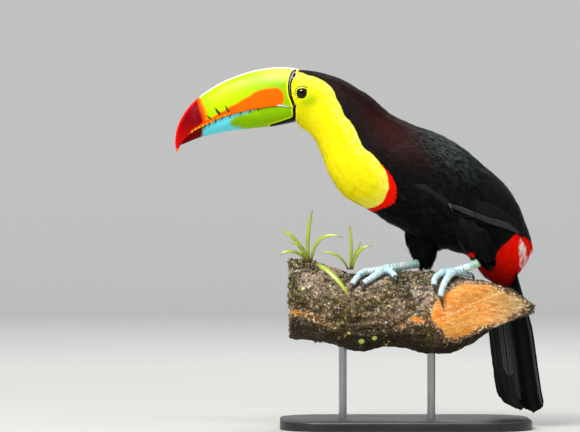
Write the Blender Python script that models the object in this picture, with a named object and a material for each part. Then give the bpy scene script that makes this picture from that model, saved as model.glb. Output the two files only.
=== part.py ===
"""Keel-billed toucan, life size, on a cut length of branch held by a plain display stand.

Lengths are typed in millimetres and built in metres, +Z up. The bird faces -X and its
left side is towards -Y. The origin is on the floor, under the middle of the stand's base.
"""

import math

import bmesh
import bpy
from mathutils import Vector

MM = 0.001
GAP = 0.35  # clearance between pieces that touch, mm
SIDES = {"left": -1, "right": 1}  # sign of Y

# Stand
BASE_LENGTH, BASE_DEPTH, BASE_THICK, BASE_CORNER = 250, 150, 9, 45
ROD_RADIUS, ROD_SOCKET_BASE, ROD_SOCKET_PERCH = 4, 5, 12
ROD_PLACES = {"stand_rod_front": -62, "stand_rod_rear": 26}  # X under the perch

# Perch: X, height of its heart line, half-height, half-depth
PERCH_ROWS = [
    (-115, 128.5, 39.5, 37),
    (-90, 125.5, 40, 38),
    (-70, 120.5, 39.5, 38),
    (-55, 115, 38, 38),
    (-27, 116, 37, 37),
    (0, 117.5, 38.5, 37),
    (35, 114.5, 41.5, 38),
    (55, 114.5, 35.5, 36),
    (75, 120, 27.5, 30),
    (95, 122, 20.5, 22),
    (115, 121.5, 11.5, 13),
    (128, 121.5, 2.5, 5),
]
PERCH_SLEW = -0.21  # Y of the heart line for each mm of X: the broken end comes forward
# Broken face: X, and how far in front of the heart line the wood is left
SCAR_ROWS = [(30, 45), (50, 31), (75, 15), (100, 5), (128, -1)]

# Body with its folded wings: back X Z, front X Z, half-width, from the bill to the tail
BODY_ROWS = [
    (-107.6, 358.3, -109.8, 306.2, 18.2),
    (-98.0, 357.9, -104.5, 299.6, 21.5),
    (-83.0, 355.4, -97.0, 294.5, 23.5),
    (-60.0, 347.6, -89.0, 284.0, 26.0),
    (-36.0, 332.0, -83.0, 270.0, 29.0),
    (-14.0, 314.0, -77.0, 253.0, 33.0),
    (9.0, 304.0, -63.0, 231.5, 38.0),
    (35.0, 294.7, -41.0, 218.0, 43.0),
    (61.0, 279.5, -7.0, 199.5, 45.0),
    (85.0, 258.5, 31.0, 180.0, 42.0),
    (104.0, 239.5, 60.0, 172.5, 36.0),
    (119.0, 216.5, 76.0, 155.0, 29.0),
    (127.0, 193.0, 90.0, 145.5, 22.0),
    (128.8, 182.5, 104.5, 141.0, 15.0),
    (125.5, 170.0, 112.0, 149.0, 7.0),
]
HEAD_END, NECK_END, TRUNK_END = 3.0, 6.0, 14.0  # sections where the body is parted
PARTING = 0.014  # half of each parting cut, as a share of a section's length
TAIL_SIDE_STEP = 18  # how far the rump stands to the bird's right of its head
# Folded wing: section, upper edge and lower edge in degrees from the back, thickness
WING_ROWS = [
    (6.25, 56, 84, 1.2),
    (6.5, 45, 98, 3.0),
    (7.0, 34, 108, 5.2),
    (8.0, 22, 103, 6.0),
    (9.0, 10, 96, 5.5),
    (10.0, 2.2, 94, 4.5),
    (11.0, 1.8, 77, 3.2),
    (12.0, 2.2, 36, 2.2),
    (12.95, 3.0, 15, 1.5),
]

# Upper half of the bill: ridge X Z, cutting edge X Z, half-width
UPPER_BILL_ROWS = [
    (-108.1, 358.5, -109.7, 319.3, 17.6),
    (-124, 360.2, -128, 321.0, 17.3),
    (-146, 357.8, -146, 319.0, 16.3),
    (-164, 352.8, -164, 315.2, 15.2),
    (-182, 345.6, -182, 310.0, 13.8),
    (-200, 334.8, -197.5, 303.0, 12.0),
    (-213, 323.8, -209, 297.2, 9.8),
    (-222, 312.0, -216, 292.0, 7.4),
    (-227.6, 300.0, -221.5, 286.5, 5.2),
    (-229.8, 288.0, -225.2, 281.5, 3.2),
    (-229.2, 278.5, -227.0, 277.0, 1.3),
    (-228.6, 274.4, -228.0, 273.6, 0.4),
]
# Lower half of the bill: cutting edge X Z, keel X Z, half-width
LOWER_BILL_ROWS = [
    (-109.8, 318.7, -110.3, 306.0, 17.0),
    (-128, 320.4, -132, 301.6, 16.2),
    (-146, 318.4, -152, 299.2, 14.8),
    (-164, 314.6, -172, 297.2, 13.2),
    (-182, 309.4, -190, 293.8, 11.2),
    (-197.2, 302.4, -203, 290.6, 9.0),
    (-208.6, 296.6, -212, 287.4, 6.6),
    (-215.6, 291.4, -218.6, 284.6, 4.2),
    (-220.8, 286.2, -222.2, 283.2, 1.8),
    (-223.0, 283.6, -223.6, 282.4, 0.8),
]

BILL_BASE_BOW = 6.0  # how far the face reaches forward beside the nostril
EYE_RADIUS = 6.3
EYE_X, EYE_Z, EYE_Y = -103.3, 334.6, 16.1  # Y of each eye's middle, off the mid-plane

# Tail: X, Y, Z of its middle, half-width, half-thickness, from the root to the tip
TAIL_ROWS = [
    (104, 17, 166, 11, 6.0),
    (105, 19, 148, 15, 5.5),
    (105.5, 21, 120, 22.5, 4.4),
    (107.6, 22.5, 98, 26.8, 3.6),
    (112, 24, 63, 29.4, 2.7),
    (115.6, 25, 36, 29.8, 2.0),
    (117.6, 25.5, 26, 28, 1.6),
    (119.4, 25.5, 19.4, 23, 1.2),
    (120.5, 25.5, 16.6, 15, 0.9),
]
TAIL_TWIST = math.radians(52)  # turn of the tail's width from across the bird
TAIL_SKEW = 0.07  # how far its left edge hangs lower, as a share of the half-width

# Legs: the feathered thigh from hip to ankle and its radii, the tarsus's upper end, then
# the ball of the foot as X and degrees round the perch from its top. Each toe is three such
# places after the ball: its bend, its end and its claw's tip
LEGS = {
    "left": {
        "thigh": [(60, -13, 208), (71, -20, 188), (79.5, -23.5, 173), (83, -24, 162.5)],
        "heel": (73, -24, 165.8),
        "ball": (50.5, 8),
        "girth": (21, 18, 11.5, 6.5),
        "toes": [
            ((38.5, 44), (33.3, 67), (36.5, 83)),
            ((30.4, 36), (27.5, 51), (28.5, 62)),
            ((58, 1), (66, -8), (69.5, -22)),
            ((50, -16), (52, -38), (54, -54)),
        ],
    },
    "right": {
        "thigh": [(17.5, 24, 216), (18.5, 20, 190), (20, 14, 174), (21, 10, 162)],
        "heel": (13.5, 10, 164),
        "ball": (-20, 12),
        "girth": (21, 18.8, 14.5, 8),
        "toes": [
            ((-40, 14), (-53, 46), (-55, 61)),
            ((-32, 32), (-41.5, 43), (-42.5, 58)),
            ((-14.5, 22), (-10.5, 34), (-9.5, 48)),
            ((-12, -8), (-4, -28), (0, -42)),
        ],
    },
}
SHANK_RADII = (4.4, 3.9, 4.0, 5.0)  # heel to ball of the foot
TOE_RADII = (3.5, 2.7)
CLAW_RADII = (2.1, 1.5, 0.35)

COLOURS = {
    "black_plumage": (0.012, 0.012, 0.014, 0.6, 0),
    "yellow_plumage": (0.9, 0.78, 0.02, 0.7, 0),
    "bill_green": (0.62, 0.78, 0.03, 0.3, 0),
    "bill_lower": (0.3, 0.62, 0.2, 0.3, 0),
    "eye": (0.01, 0.008, 0.006, 0.05, 0),
    "foot_skin": (0.5, 0.68, 0.72, 0.5, 0),
    "claw": (0.015, 0.015, 0.017, 0.3, 0),
    "bark": (0.16, 0.1, 0.05, 0.9, 0),
    "stand_black": (0.03, 0.03, 0.03, 0.4, 0),
    "stand_steel": (0.5, 0.5, 0.5, 0.35, 1),
}


def clear_scene():
    for obj in list(bpy.data.objects):
        bpy.data.objects.remove(obj)


def collection(name):
    found = bpy.data.collections.new(name)
    bpy.context.scene.collection.children.link(found)
    return found


def material(name):
    found = bpy.data.materials.get(name)
    if found is None:
        red, green, blue, roughness, metallic = COLOURS[name]
        found = bpy.data.materials.new(name)
        found.use_nodes = True
        shader = found.node_tree.nodes["Principled BSDF"]
        shader.inputs["Base Color"].default_value = (red, green, blue, 1)
        shader.inputs["Roughness"].default_value = roughness
        shader.inputs["Metallic"].default_value = metallic
    return found


def between(rows, place):
    """A smooth curve through rows of numbers, read at a real-valued row place."""
    last = len(rows) - 1
    place = min(max(place, 0.0), last)
    i = min(int(place), last - 1)
    f = place - i
    before = rows[max(i - 1, 0)]
    after = rows[min(i + 2, last)]
    found = []
    for a, b, c, d in zip(before, rows[i], rows[i + 1], after):
        slope_b, slope_c = (c - a) / 2, (d - b) / 2
        found.append(
            b
            + slope_b * f
            + (3 * (c - b) - 2 * slope_b - slope_c) * f**2
            + (2 * (b - c) + slope_b + slope_c) * f**3
        )
    return found


def at_key(rows, key):
    """The rest of a row, with straight steps between the rows, where the first number is key."""
    key = min(max(key, rows[0][0]), rows[-1][0])
    for low, high in zip(rows, rows[1:]):
        if key <= high[0]:
            f = (key - low[0]) / (high[0] - low[0])
            return [a + (b - a) * f for a, b in zip(low[1:], high[1:])]
    return list(rows[-1][1:])


def steps(start, end, count):
    return [start + (end - start) * i / (count - 1) for i in range(count)]


def place(name, mesh, colour, group):
    obj = bpy.data.objects.new(name, mesh)
    obj.data.materials.append(material(colour))
    group.objects.link(obj)
    if group.name == "cutters":
        obj.hide_render = True
        obj.display_type = "WIRE"
    return obj


def cap(bm, ring, lone_first):
    """Close an end with bands between the points that face each other across the ring."""
    before = (ring[0],) if lone_first else (ring[0], ring[-1])
    a, b = 1, len(ring) - len(before)
    while a <= b:
        pair = (ring[a], ring[b]) if a < b else (ring[a],)
        bm.faces.new([*before, *reversed(pair)])
        before = pair
        a, b = a + 1, b - 1


def loft(name, rings, colour, group, lone_first=True):
    """A closed skin over rings of points in millimetres; lone_first if a ring starts on its own middle."""
    bm = bmesh.new()
    loops = [[bm.verts.new(Vector(p) * MM) for p in ring] for ring in rings]
    count = len(loops[0])
    for first, second in zip(loops, loops[1:]):
        for i in range(count):
            j = (i + 1) % count
            bm.faces.new((first[i], first[j], second[j], second[i]))
    cap(bm, loops[0], lone_first)
    cap(bm, loops[-1], lone_first)
    bmesh.ops.recalc_face_normals(bm, faces=bm.faces)
    mesh = bpy.data.meshes.new(name)
    bm.to_mesh(mesh)
    bm.free()
    mesh.shade_smooth()
    mesh.set_sharp_from_angle(angle=math.radians(40))
    return place(name, mesh, colour, group)


def tube(name, points, radii, colour, group, roundness=2):
    """A round limb along points, with its thickness read evenly from radii, as a welded mesh."""
    curve = bpy.data.curves.new(name, "CURVE")
    curve.dimensions = "3D"
    curve.bevel_depth = MM
    curve.bevel_resolution = roundness
    curve.use_fill_caps = True
    spline = curve.splines.new("POLY")
    spline.points.add(len(points) - 1)
    rows = [(r,) for r in radii]
    for i, point in enumerate(points):
        spline.points[i].co = (*(Vector(point) * MM), 1)
        spline.points[i].radius = between(rows, i / (len(points) - 1) * (len(rows) - 1))[0]
    shape = bpy.data.objects.new(name + "_curve", curve)
    group.objects.link(shape)
    bpy.context.view_layer.update()
    graph = bpy.context.evaluated_depsgraph_get()
    mesh = bpy.data.meshes.new_from_object(shape.evaluated_get(graph))
    bpy.data.objects.remove(shape)
    bm = bmesh.new()
    bm.from_mesh(mesh)
    bmesh.ops.remove_doubles(bm, verts=bm.verts, dist=0.00001)
    bmesh.ops.recalc_face_normals(bm, faces=bm.faces)
    bm.to_mesh(mesh)
    bm.free()
    mesh.materials.clear()
    mesh.shade_smooth()
    return place(name, mesh, colour, group)


def cut(obj, *tools):
    for tool in tools:
        modifier = obj.modifiers.new("cut by " + tool.name, "BOOLEAN")
        modifier.operation = "DIFFERENCE"
        modifier.object = tool


def join(obj, tool):
    modifier = obj.modifiers.new("joined with " + tool.name, "BOOLEAN")
    modifier.operation = "UNION"
    modifier.object = tool


def spine_y(x):
    """The body swings to the bird's right towards the tail, clear of the perch."""
    share = max(0.0, (x + 40) / 160)
    return TAIL_SIDE_STEP * share**1.3


def body_point(section, degrees, depth=0.0):
    """A point of the body's outline, turned from the back (0) down the left side, and depth below it."""
    back_x, back_z, front_x, front_z, half_width = between(BODY_ROWS, section)
    centre = Vector(((back_x + front_x) / 2, 0, (back_z + front_z) / 2))
    centre.y = spine_y(centre.x)
    up = Vector(((back_x - front_x) / 2, 0, (back_z - front_z) / 2))
    turn = math.radians(degrees)
    up *= 1 - depth / up.length
    side = Vector((0, -(half_width - depth), 0))
    return centre + up * math.cos(turn) + side * math.sin(turn)


def bill_base_bow(z):
    """How far the line between face and bill bows forward at a height."""
    top, low = BODY_ROWS[0][1], BODY_ROWS[0][3]
    share = min(max((top - z) / (top - low), 0.0), 1.0)
    return -BILL_BASE_BOW * math.sin(math.pi * share**0.76) ** 2


def body_ring(section, depth=0.0, count=24):
    ring = [body_point(section, 360 * i / count, depth) for i in range(count)]
    for p in ring:
        p.x += bill_base_bow(p.z) * max(0.0, 1 - section / 1.2) ** 1.5
    return ring


def body_length(name, start, end, rings, colour, group, depth=0.0):
    sections = steps(start, end, rings)
    return loft(name, [body_ring(s, depth) for s in sections], colour, group)


def eye_middle(sign):
    return Vector((EYE_X, sign * EYE_Y, EYE_Z))


def eyeball(name, sign, extra, group):
    bm = bmesh.new()
    bmesh.ops.create_uvsphere(bm, u_segments=14, v_segments=9, radius=(EYE_RADIUS + extra) * MM)
    mesh = bpy.data.meshes.new(name)
    bm.to_mesh(mesh)
    bm.free()
    mesh.shade_smooth()
    ball = place(name, mesh, "eye", group)
    ball.location = eye_middle(sign) * MM
    ball.rotation_euler.x = math.radians(90)
    return ball


def make_head_neck_trunk(model, cutters):
    head = body_length("head", 0, HEAD_END - PARTING, 10, "yellow_plumage", model)
    for side, sign in SIDES.items():
        eyeball(f"eye_{side}", sign, 0, model)
        cut(head, eyeball(f"eye_socket_{side}", sign, GAP, cutters))
    body_length("neck", HEAD_END + PARTING, NECK_END - PARTING, 9, "yellow_plumage", model)
    return body_length("trunk", NECK_END + PARTING, TRUNK_END, 17, "black_plumage", model)


def wing_ring(section, sign, edge=0.0, over=0.0, under=0.0, count=8):
    """One slice of a folded wing: its outer arc, then its inner arc back."""
    top, bottom, thick = at_key(WING_ROWS, section)
    angles = steps(top - edge, bottom + edge, count)
    ring = []
    for i, angle in enumerate(angles):
        ring.append((angle, -over))
    for i, angle in reversed(list(enumerate(angles))):
        round_off = 0.35 + 0.65 * math.sin(math.pi * i / (count - 1)) ** 0.7
        ring.append((angle, thick * round_off + under))
    points = [body_point(section, angle, depth) for angle, depth in ring]
    if sign > 0:
        points = [Vector((p.x, 2 * spine_y_of(section) - p.y, p.z)) for p in points]
    return points


def spine_y_of(section):
    back_x, _, front_x, _, _ = between(BODY_ROWS, section)
    return spine_y((back_x + front_x) / 2)


def make_wings(trunk, model, cutters):
    start, end = WING_ROWS[0][0], WING_ROWS[-1][0]
    rooms = {}
    for side, sign in SIDES.items():
        slices = steps(start, end, 17)
        outer = [wing_ring(s, sign) for s in slices]
        loft(f"wing_{side}", outer, "black_plumage", model, lone_first=False)
        wide = steps(start - 0.02, end + 0.06, 17)
        room = [wing_ring(s, sign, edge=2.6, over=6, under=GAP) for s in wide]
        rooms[side] = loft(f"wing_room_{side}", room, "black_plumage", cutters, lone_first=False)
        cut(trunk, rooms[side])
    return rooms


def bill_ring(row, power, round_off, place_, count):
    """One slice of a half of the bill, down its left side and up its right."""
    top_x, top_z, low_x, low_z, width = row
    left = []
    for q in steps(0, 1, count):
        out = (1 - (1 - q) ** power) if power == 2.4 else (1 - q**power)
        z = top_z + (low_z - top_z) * q
        bow = bill_base_bow(z) * max(0.0, 1 - place_ / 1.4) ** 1.5
        left.append((top_x + (low_x - top_x) * q + bow, -width * out**round_off, z))
    return left


def make_bill(model):
    upper, lower = [], []
    for place_ in steps(0, len(UPPER_BILL_ROWS) - 1, 18):
        left = bill_ring(between(UPPER_BILL_ROWS, place_), 2.4, 0.68, place_, 9)
        upper.append(left + [(x, -y, z) for x, y, z in reversed(left[1:])])
    for place_ in steps(0, len(LOWER_BILL_ROWS) - 1, 16):
        left = bill_ring(between(LOWER_BILL_ROWS, place_), 2.2, 0.55, place_, 7)
        lower.append(left + [(x, -y, z) for x, y, z in reversed(left[:-1])])
    loft("bill_upper", upper, "bill_green", model)
    loft("bill_lower", lower, "bill_lower", model, lone_first=False)


def make_tail(trunk_room, model):
    rings = []
    across = Vector((math.sin(TAIL_TWIST), -math.cos(TAIL_TWIST), 0))
    through = Vector((math.cos(TAIL_TWIST), math.sin(TAIL_TWIST), 0))
    for place_ in steps(0, len(TAIL_ROWS) - 1, 15):
        x, y, z, half_width, half_thick = between(TAIL_ROWS, place_)
        ring = []
        for i in range(16):
            turn = 2 * math.pi * i / 16
            arch = -0.12 * half_width * math.sin(turn) ** 2  # the edges droop towards the belly
            ring.append(
                Vector((x, y, z))
                + across * half_width * math.sin(turn)
                + through * (half_thick * math.cos(turn) + arch)
                - Vector((0, 0, TAIL_SKEW * half_width * math.sin(turn)))
            )
        rings.append(ring)
    cut(loft("tail", rings, "black_plumage", model), trunk_room)


def perch_section(x):
    heart_z, half_height, half_depth = at_key_smooth(PERCH_ROWS, x)
    return PERCH_SLEW * x, heart_z, half_height, half_depth


def at_key_smooth(rows, key):
    """The smooth curve through rows, found by the first number of a row."""
    key = min(max(key, rows[0][0]), rows[-1][0])
    for i, (low, high) in enumerate(zip(rows, rows[1:])):
        if key <= high[0]:
            return between([r[1:] for r in rows], i + (key - low[0]) / (high[0] - low[0]))
    return list(rows[-1][1:])


def perch_point(x, degrees, lift=0.0):
    """A point on the perch, turned from its top (0) to its front (90), and lift above its bark."""
    heart_y, heart_z, half_height, half_depth = perch_section(x)
    turn = math.radians(degrees)
    y = heart_y - (half_depth + lift) * math.sin(turn)
    z = heart_z + (half_height + lift) * math.cos(turn)
    if x > SCAR_ROWS[0][0]:
        left_in_front = at_key(SCAR_ROWS, x)[0]
        y = max(y, heart_y - left_in_front - lift)
    return Vector((x, y, z))


def bark_lump(x, degrees):
    """Slow swellings of the bark, none of them under the feet."""
    turn = math.radians(degrees)
    lumps = math.sin(0.11 * x + 2 * turn) + 0.7 * math.sin(0.07 * x - 3 * turn + 1)
    below = 0.5 - 0.5 * math.cos(max(0.0, min(1.0, (abs(degrees - 190) - 90) / -60)) * math.pi)
    return 1.3 * lumps * below


def make_perch(model, cutters):
    rings = []
    for x in steps(PERCH_ROWS[0][0], PERCH_ROWS[-1][0], 24):
        around = [360 * i / 20 for i in range(20)]
        rings.append([perch_point(x, a, bark_lump(x, a)) for a in around])
    perch = loft("perch_branch", rings, "bark", model)
    for name, x in ROD_PLACES.items():
        cut(perch, rod(name + "_socket", x, GAP, "stand_steel", cutters))


def rod(name, x, extra, colour, group):
    """A stand rod from inside the base to inside the perch, or its socket if extra is above 0."""
    heart_y, heart_z, half_height, _ = perch_section(x)
    low = BASE_THICK - ROD_SOCKET_BASE - extra
    high = heart_z - half_height + ROD_SOCKET_PERCH + extra
    bm = bmesh.new()
    bmesh.ops.create_cone(
        bm,
        cap_ends=True,
        segments=16,
        radius1=(ROD_RADIUS + extra) * MM,
        radius2=(ROD_RADIUS + extra) * MM,
        depth=(high - low) * MM,
    )
    mesh = bpy.data.meshes.new(name)
    bm.to_mesh(mesh)
    bm.free()
    mesh.shade_smooth()
    mesh.set_sharp_from_angle(angle=math.radians(40))
    piece = place(name, mesh, colour, group)
    piece.location = Vector((x, heart_y, (low + high) / 2)) * MM
    return piece


def make_stand(model, cutters):
    bm = bmesh.new()
    bmesh.ops.create_cube(bm, size=1)
    bmesh.ops.scale(bm, vec=Vector((BASE_LENGTH, BASE_DEPTH, BASE_THICK)) * MM, verts=bm.verts)
    upright = [e for e in bm.edges if abs(e.verts[0].co.z - e.verts[1].co.z) > MM]
    bmesh.ops.bevel(bm, geom=upright, offset=BASE_CORNER * MM, segments=6, profile=0.5, affect="EDGES")
    rim = [e for e in bm.edges if min(v.co.z for v in e.verts) > 0]
    bmesh.ops.bevel(bm, geom=rim, offset=1.2 * MM, segments=2, profile=0.5, affect="EDGES")
    mesh = bpy.data.meshes.new("stand_base")
    bm.to_mesh(mesh)
    bm.free()
    mesh.shade_smooth()
    mesh.set_sharp_from_angle(angle=math.radians(35))
    base = place("stand_base", mesh, "stand_black", model)
    base.location.z = BASE_THICK / 2 * MM
    for name, x in ROD_PLACES.items():
        rod(name, x, 0, "stand_steel", model)
        cut(base, rod(name + "_base_socket", x, GAP, "stand_steel", cutters))


def bowed(points, count):
    rows = [tuple(p) for p in points]
    return [between(rows, s) for s in steps(0, len(rows) - 1, count)]


def toe_path(leg, number, lift, count=7):
    """From the ball of the foot to the toe's end, over the perch."""
    bend, end, _ = leg["toes"][number]
    around = bowed([leg["ball"], bend, end], count)
    path = []
    for i, (x, turn) in enumerate(around):
        f = i / (count - 1)
        path.append(perch_point(x, turn, lift + 1.6 * (1 - f)))
    return path


def claw_path(leg, number, count=6):
    _, (x0, turn0), (x1, turn1) = leg["toes"][number]
    end = perch_point(x0, turn0, TOE_RADII[1] + GAP)
    tip = perch_point(x1, turn1, CLAW_RADII[2] + GAP + 0.2)
    halfway = ((x0 + x1) / 2, (turn0 + turn1) / 2)
    outward = perch_point(*halfway, 5) - perch_point(*halfway, 0)
    middle = (end + tip) / 2 + outward.normalized() * 2.6
    return bowed([end, middle, tip], count)


def make_leg(side, leg, body_rooms, model, cutters):
    ball = perch_point(*leg["ball"], SHANK_RADII[-1] + GAP)
    heel = Vector(leg["heel"])
    shank_line = bowed([heel, heel.lerp(ball, 0.5), ball], 9)
    foot = tube(f"leg_{side}", shank_line, SHANK_RADII, "foot_skin", model)
    wide_shank = [r + GAP for r in SHANK_RADII]
    longer = [heel + (heel - ball).normalized() * GAP] + shank_line
    shank_room = tube(f"shank_room_{side}", longer, wide_shank, "foot_skin", cutters)

    thigh = tube(f"thigh_{side}", bowed(leg["thigh"], 10), leg["girth"], "black_plumage", model, 3)
    cut(thigh, *body_rooms, shank_room)

    for number in range(4):
        label = f"{side}_{number + 1}"
        line = toe_path(leg, number, TOE_RADII[0] + GAP)
        join(foot, tube(f"toe_{label}", line, TOE_RADII, "foot_skin", cutters))
        forward = Vector(line[-1]) - Vector(line[-2])
        past = line[3:] + [line[-1] + forward.normalized() * GAP]
        room = tube(f"toe_room_{label}", past, [TOE_RADII[1] + GAP + 0.9] * 2, "foot_skin", cutters)
        cut(tube(f"claw_{label}", claw_path(leg, number), CLAW_RADII, "claw", model, 1), room)


def main():
    clear_scene()
    model = collection("keel_billed_toucan")
    cutters = collection("cutters")
    trunk = make_head_neck_trunk(model, cutters)
    trunk_room = body_length(
        "trunk_room", NECK_END + PARTING, TRUNK_END, 17, "black_plumage", cutters, depth=-GAP
    )
    wing_rooms = make_wings(trunk, model, cutters)
    make_bill(model)
    make_tail(trunk_room, model)
    make_perch(model, cutters)
    make_stand(model, cutters)
    for side, leg in LEGS.items():
        make_leg(side, leg, (trunk_room, wing_rooms[side]), model, cutters)


main()
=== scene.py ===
# Keel-billed toucan on its perch: skin, plumage, bill, eyes, feet, branch and stand.
# The bird faces -X with its left side to the camera. Sizes are millimetres, made metres by mm.
import math
from functools import partial

import bmesh
import bpy
import numpy as np
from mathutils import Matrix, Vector, noise
from mathutils.bvhtree import BVHTree


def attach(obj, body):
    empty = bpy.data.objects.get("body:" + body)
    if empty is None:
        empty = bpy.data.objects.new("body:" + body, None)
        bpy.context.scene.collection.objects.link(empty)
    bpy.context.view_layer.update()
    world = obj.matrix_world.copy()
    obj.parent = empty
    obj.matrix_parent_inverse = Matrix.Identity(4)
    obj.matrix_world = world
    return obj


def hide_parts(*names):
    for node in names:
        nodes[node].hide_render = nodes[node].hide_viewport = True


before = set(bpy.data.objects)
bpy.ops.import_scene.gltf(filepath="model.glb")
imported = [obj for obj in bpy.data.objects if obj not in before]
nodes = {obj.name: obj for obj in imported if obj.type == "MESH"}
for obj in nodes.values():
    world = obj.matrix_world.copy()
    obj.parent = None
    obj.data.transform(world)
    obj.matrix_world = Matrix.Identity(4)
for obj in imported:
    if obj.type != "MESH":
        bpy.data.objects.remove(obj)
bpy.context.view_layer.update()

mm = 0.001
scene = bpy.context.scene
rng = np.random.default_rng(7)


# small helpers


def hexColour(text):
    # an sRGB hex value as linear light
    parts = [int(text[i:i + 2], 16) / 255 for i in (1, 3, 5)]
    return tuple(c / 12.92 if c <= 0.04045 else ((c + 0.055) / 1.055) ** 2.4 for c in parts) + (1.0,)


mainSettings = {"Attribute": "attribute_name", "MapRange": "interpolation_type"}


def addNode(tree, kind, inputs=(), out=0, **settings):
    # the kind names its main setting after a dot; inputs come in socket order or by name, colours as hex;
    # gives back one output socket
    kind, _, chosen = kind.partition(".")
    if chosen:
        settings[mainSettings.get(kind, "operation")] = chosen
    if not kind.startswith(("Geometry", "Function", "Node")):
        kind = "ShaderNode" + kind
    made = tree.nodes.new(kind)
    for name, value in settings.items():
        setattr(made, name, value)
    for key, value in (inputs.items() if isinstance(inputs, dict) else enumerate(inputs)):
        if isinstance(value, bpy.types.NodeSocket):
            tree.links.new(value, made.inputs[key])
        else:
            made.inputs[key].default_value = hexColour(value) if str(value).startswith("#") else value
    return made.outputs[out] if made.outputs else made


def newMaterial(name, **fixed):
    # fixed are the shader's values that are the same all over; also gives back addNode for its tree
    material = bpy.data.materials.new(name)
    material.use_nodes = True
    shader = material.node_tree.nodes["Principled BSDF"]
    for socket, value in fixed.items():
        shader.inputs[socket.replace("_", " ")].default_value = value
    return material, partial(addNode, material.node_tree), shader


def layerColours(add, ground, *layers):
    # each layer is a mask, a colour and, if wanted, a way of mixing; a mask in brackets is a value, the
    # range over which it comes in and, if not 0 and 1, the least and most of it
    for mask, colour, *way in layers:
        if isinstance(mask, tuple):
            mask = add("MapRange", mask)
        ground = add(
            "Mix", {0: mask, 6: ground, 7: colour}, out=2, data_type="RGBA",
            blend_type=way[0] if way else "MIX")
    return ground


def feed(shader, **sockets):
    for name, value in sockets.items():
        shader.id_data.links.new(value, shader.inputs[name.replace("_", " ")])


def meshObject(name, vertices, faces, material=None, outward=False):
    mesh = bpy.data.meshes.new(name)
    mesh.from_pydata([tuple(v) for v in vertices], [], [tuple(int(i) for i in f) for f in faces])
    if outward:
        shell = bmesh.new()
        shell.from_mesh(mesh)
        bmesh.ops.recalc_face_normals(shell, faces=shell.faces)
        shell.to_mesh(mesh)
        shell.free()
    mesh.shade_smooth()
    piece = bpy.data.objects.new(name, mesh)
    scene.collection.objects.link(piece)
    if material:
        mesh.materials.append(material)
    return piece


def gridFaces(rows, columns, start=0, closed=False, order=(0, 1, 2, 3)):
    # quads between the rows of a grid of points; closed joins each row's end to its start
    faces = []
    for r in range(rows - 1):
        for c in range(columns if closed else columns - 1):
            a, b = start + r * columns + c, start + r * columns + (c + 1) % columns
            corners = (a, a + columns, b + columns, b)
            faces.append([corners[k] for k in order])
    return faces


def setAttribute(mesh, name, values, kind="FLOAT", domain="POINT"):
    made = mesh.attributes.new(name, kind, domain)
    field = "vector" if kind in ("FLOAT_VECTOR", "FLOAT2") else "value"
    made.data.foreach_set(field, np.ascontiguousarray(values, np.float32).ravel())


def meshPoints(mesh, field="co"):
    # places, in mm, or normals of the vertices
    found = np.zeros(len(mesh.vertices) * 3)
    mesh.vertices.foreach_get(field, found)
    return found.reshape(-1, 3) / (mm if field == "co" else 1)


def movePoints(mesh, points):
    mesh.vertices.foreach_set("co", (points * mm).ravel())
    mesh.update()


def applied(piece):
    # the evaluated object as a plain mesh, with its modifiers gone
    bpy.context.view_layer.update()
    graph = bpy.context.evaluated_depsgraph_get()
    mesh = bpy.data.meshes.new_from_object(piece.evaluated_get(graph))
    piece.modifiers.clear()
    piece.data = mesh
    return piece


def dress(piece, material):
    piece.data.materials.clear()
    piece.data.materials.append(material)


def weldedCopy(name, nodeNames, swell=0.0):
    # CAD solids as one object, each merged and swollen a little so that they meet
    joined = bmesh.new()
    mergeGap = 0.01 * mm
    for nodeName in nodeNames:
        part = bmesh.new()
        part.from_mesh(nodes[nodeName].data)
        bmesh.ops.remove_doubles(part, verts=part.verts, dist=mergeGap)
        part.normal_update()
        for vertex in part.verts:
            vertex.co += vertex.normal * swell * mm
        passing = bpy.data.meshes.new("passing")
        part.to_mesh(passing)
        part.free()
        joined.from_mesh(passing)
        bpy.data.meshes.remove(passing)
    mesh = bpy.data.meshes.new(name)
    joined.to_mesh(mesh)
    joined.free()
    made = bpy.data.objects.new(name, mesh)
    scene.collection.objects.link(made)
    return made


def remeshed(piece, voxel, smoothing):
    made = piece.modifiers.new("even mesh", "REMESH")
    made.mode, made.voxel_size, made.use_smooth_shade = "VOXEL", voxel * mm, True
    soft = piece.modifiers.new("soften", "SMOOTH")
    soft.iterations, soft.factor = smoothing, 0.5
    applied(piece)
    piece.data.shade_smooth()
    return piece


def curveAt(points, places, closed=False):
    # Catmull-Rom through the points, at places counted in points
    points = np.asarray(points, float)
    total = len(points)
    spans = total if closed else total - 1
    base = np.clip(np.floor(places).astype(int), 0, spans - 1)
    f = (np.asarray(places, float) - base)[:, None]
    if closed:
        a, b, c, d = (points[(base + k) % total] for k in (-1, 0, 1, 2))
    else:
        a, b, c, d = (points[np.clip(base + k, 0, total - 1)] for k in (-1, 0, 1, 2))
    return 0.5 * (
        2 * b + (c - a) * f + (2 * a - 5 * b + 4 * c - d) * f ** 2 + (3 * b - a - 3 * c + d) * f ** 3)


def pathDistance(places, path):
    # mm from an open path
    nearest = np.full(len(places), 1e9)
    for a, b in zip(path[:-1], path[1:]):
        a, along = np.asarray(a, float), np.subtract(b, a).astype(float)
        t = np.clip(((places - a) @ along) / max(along @ along, 1e-9), 0, 1)
        nearest = np.minimum(nearest, np.linalg.norm(places - a - t[:, None] * along, axis=1))
    return nearest


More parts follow.
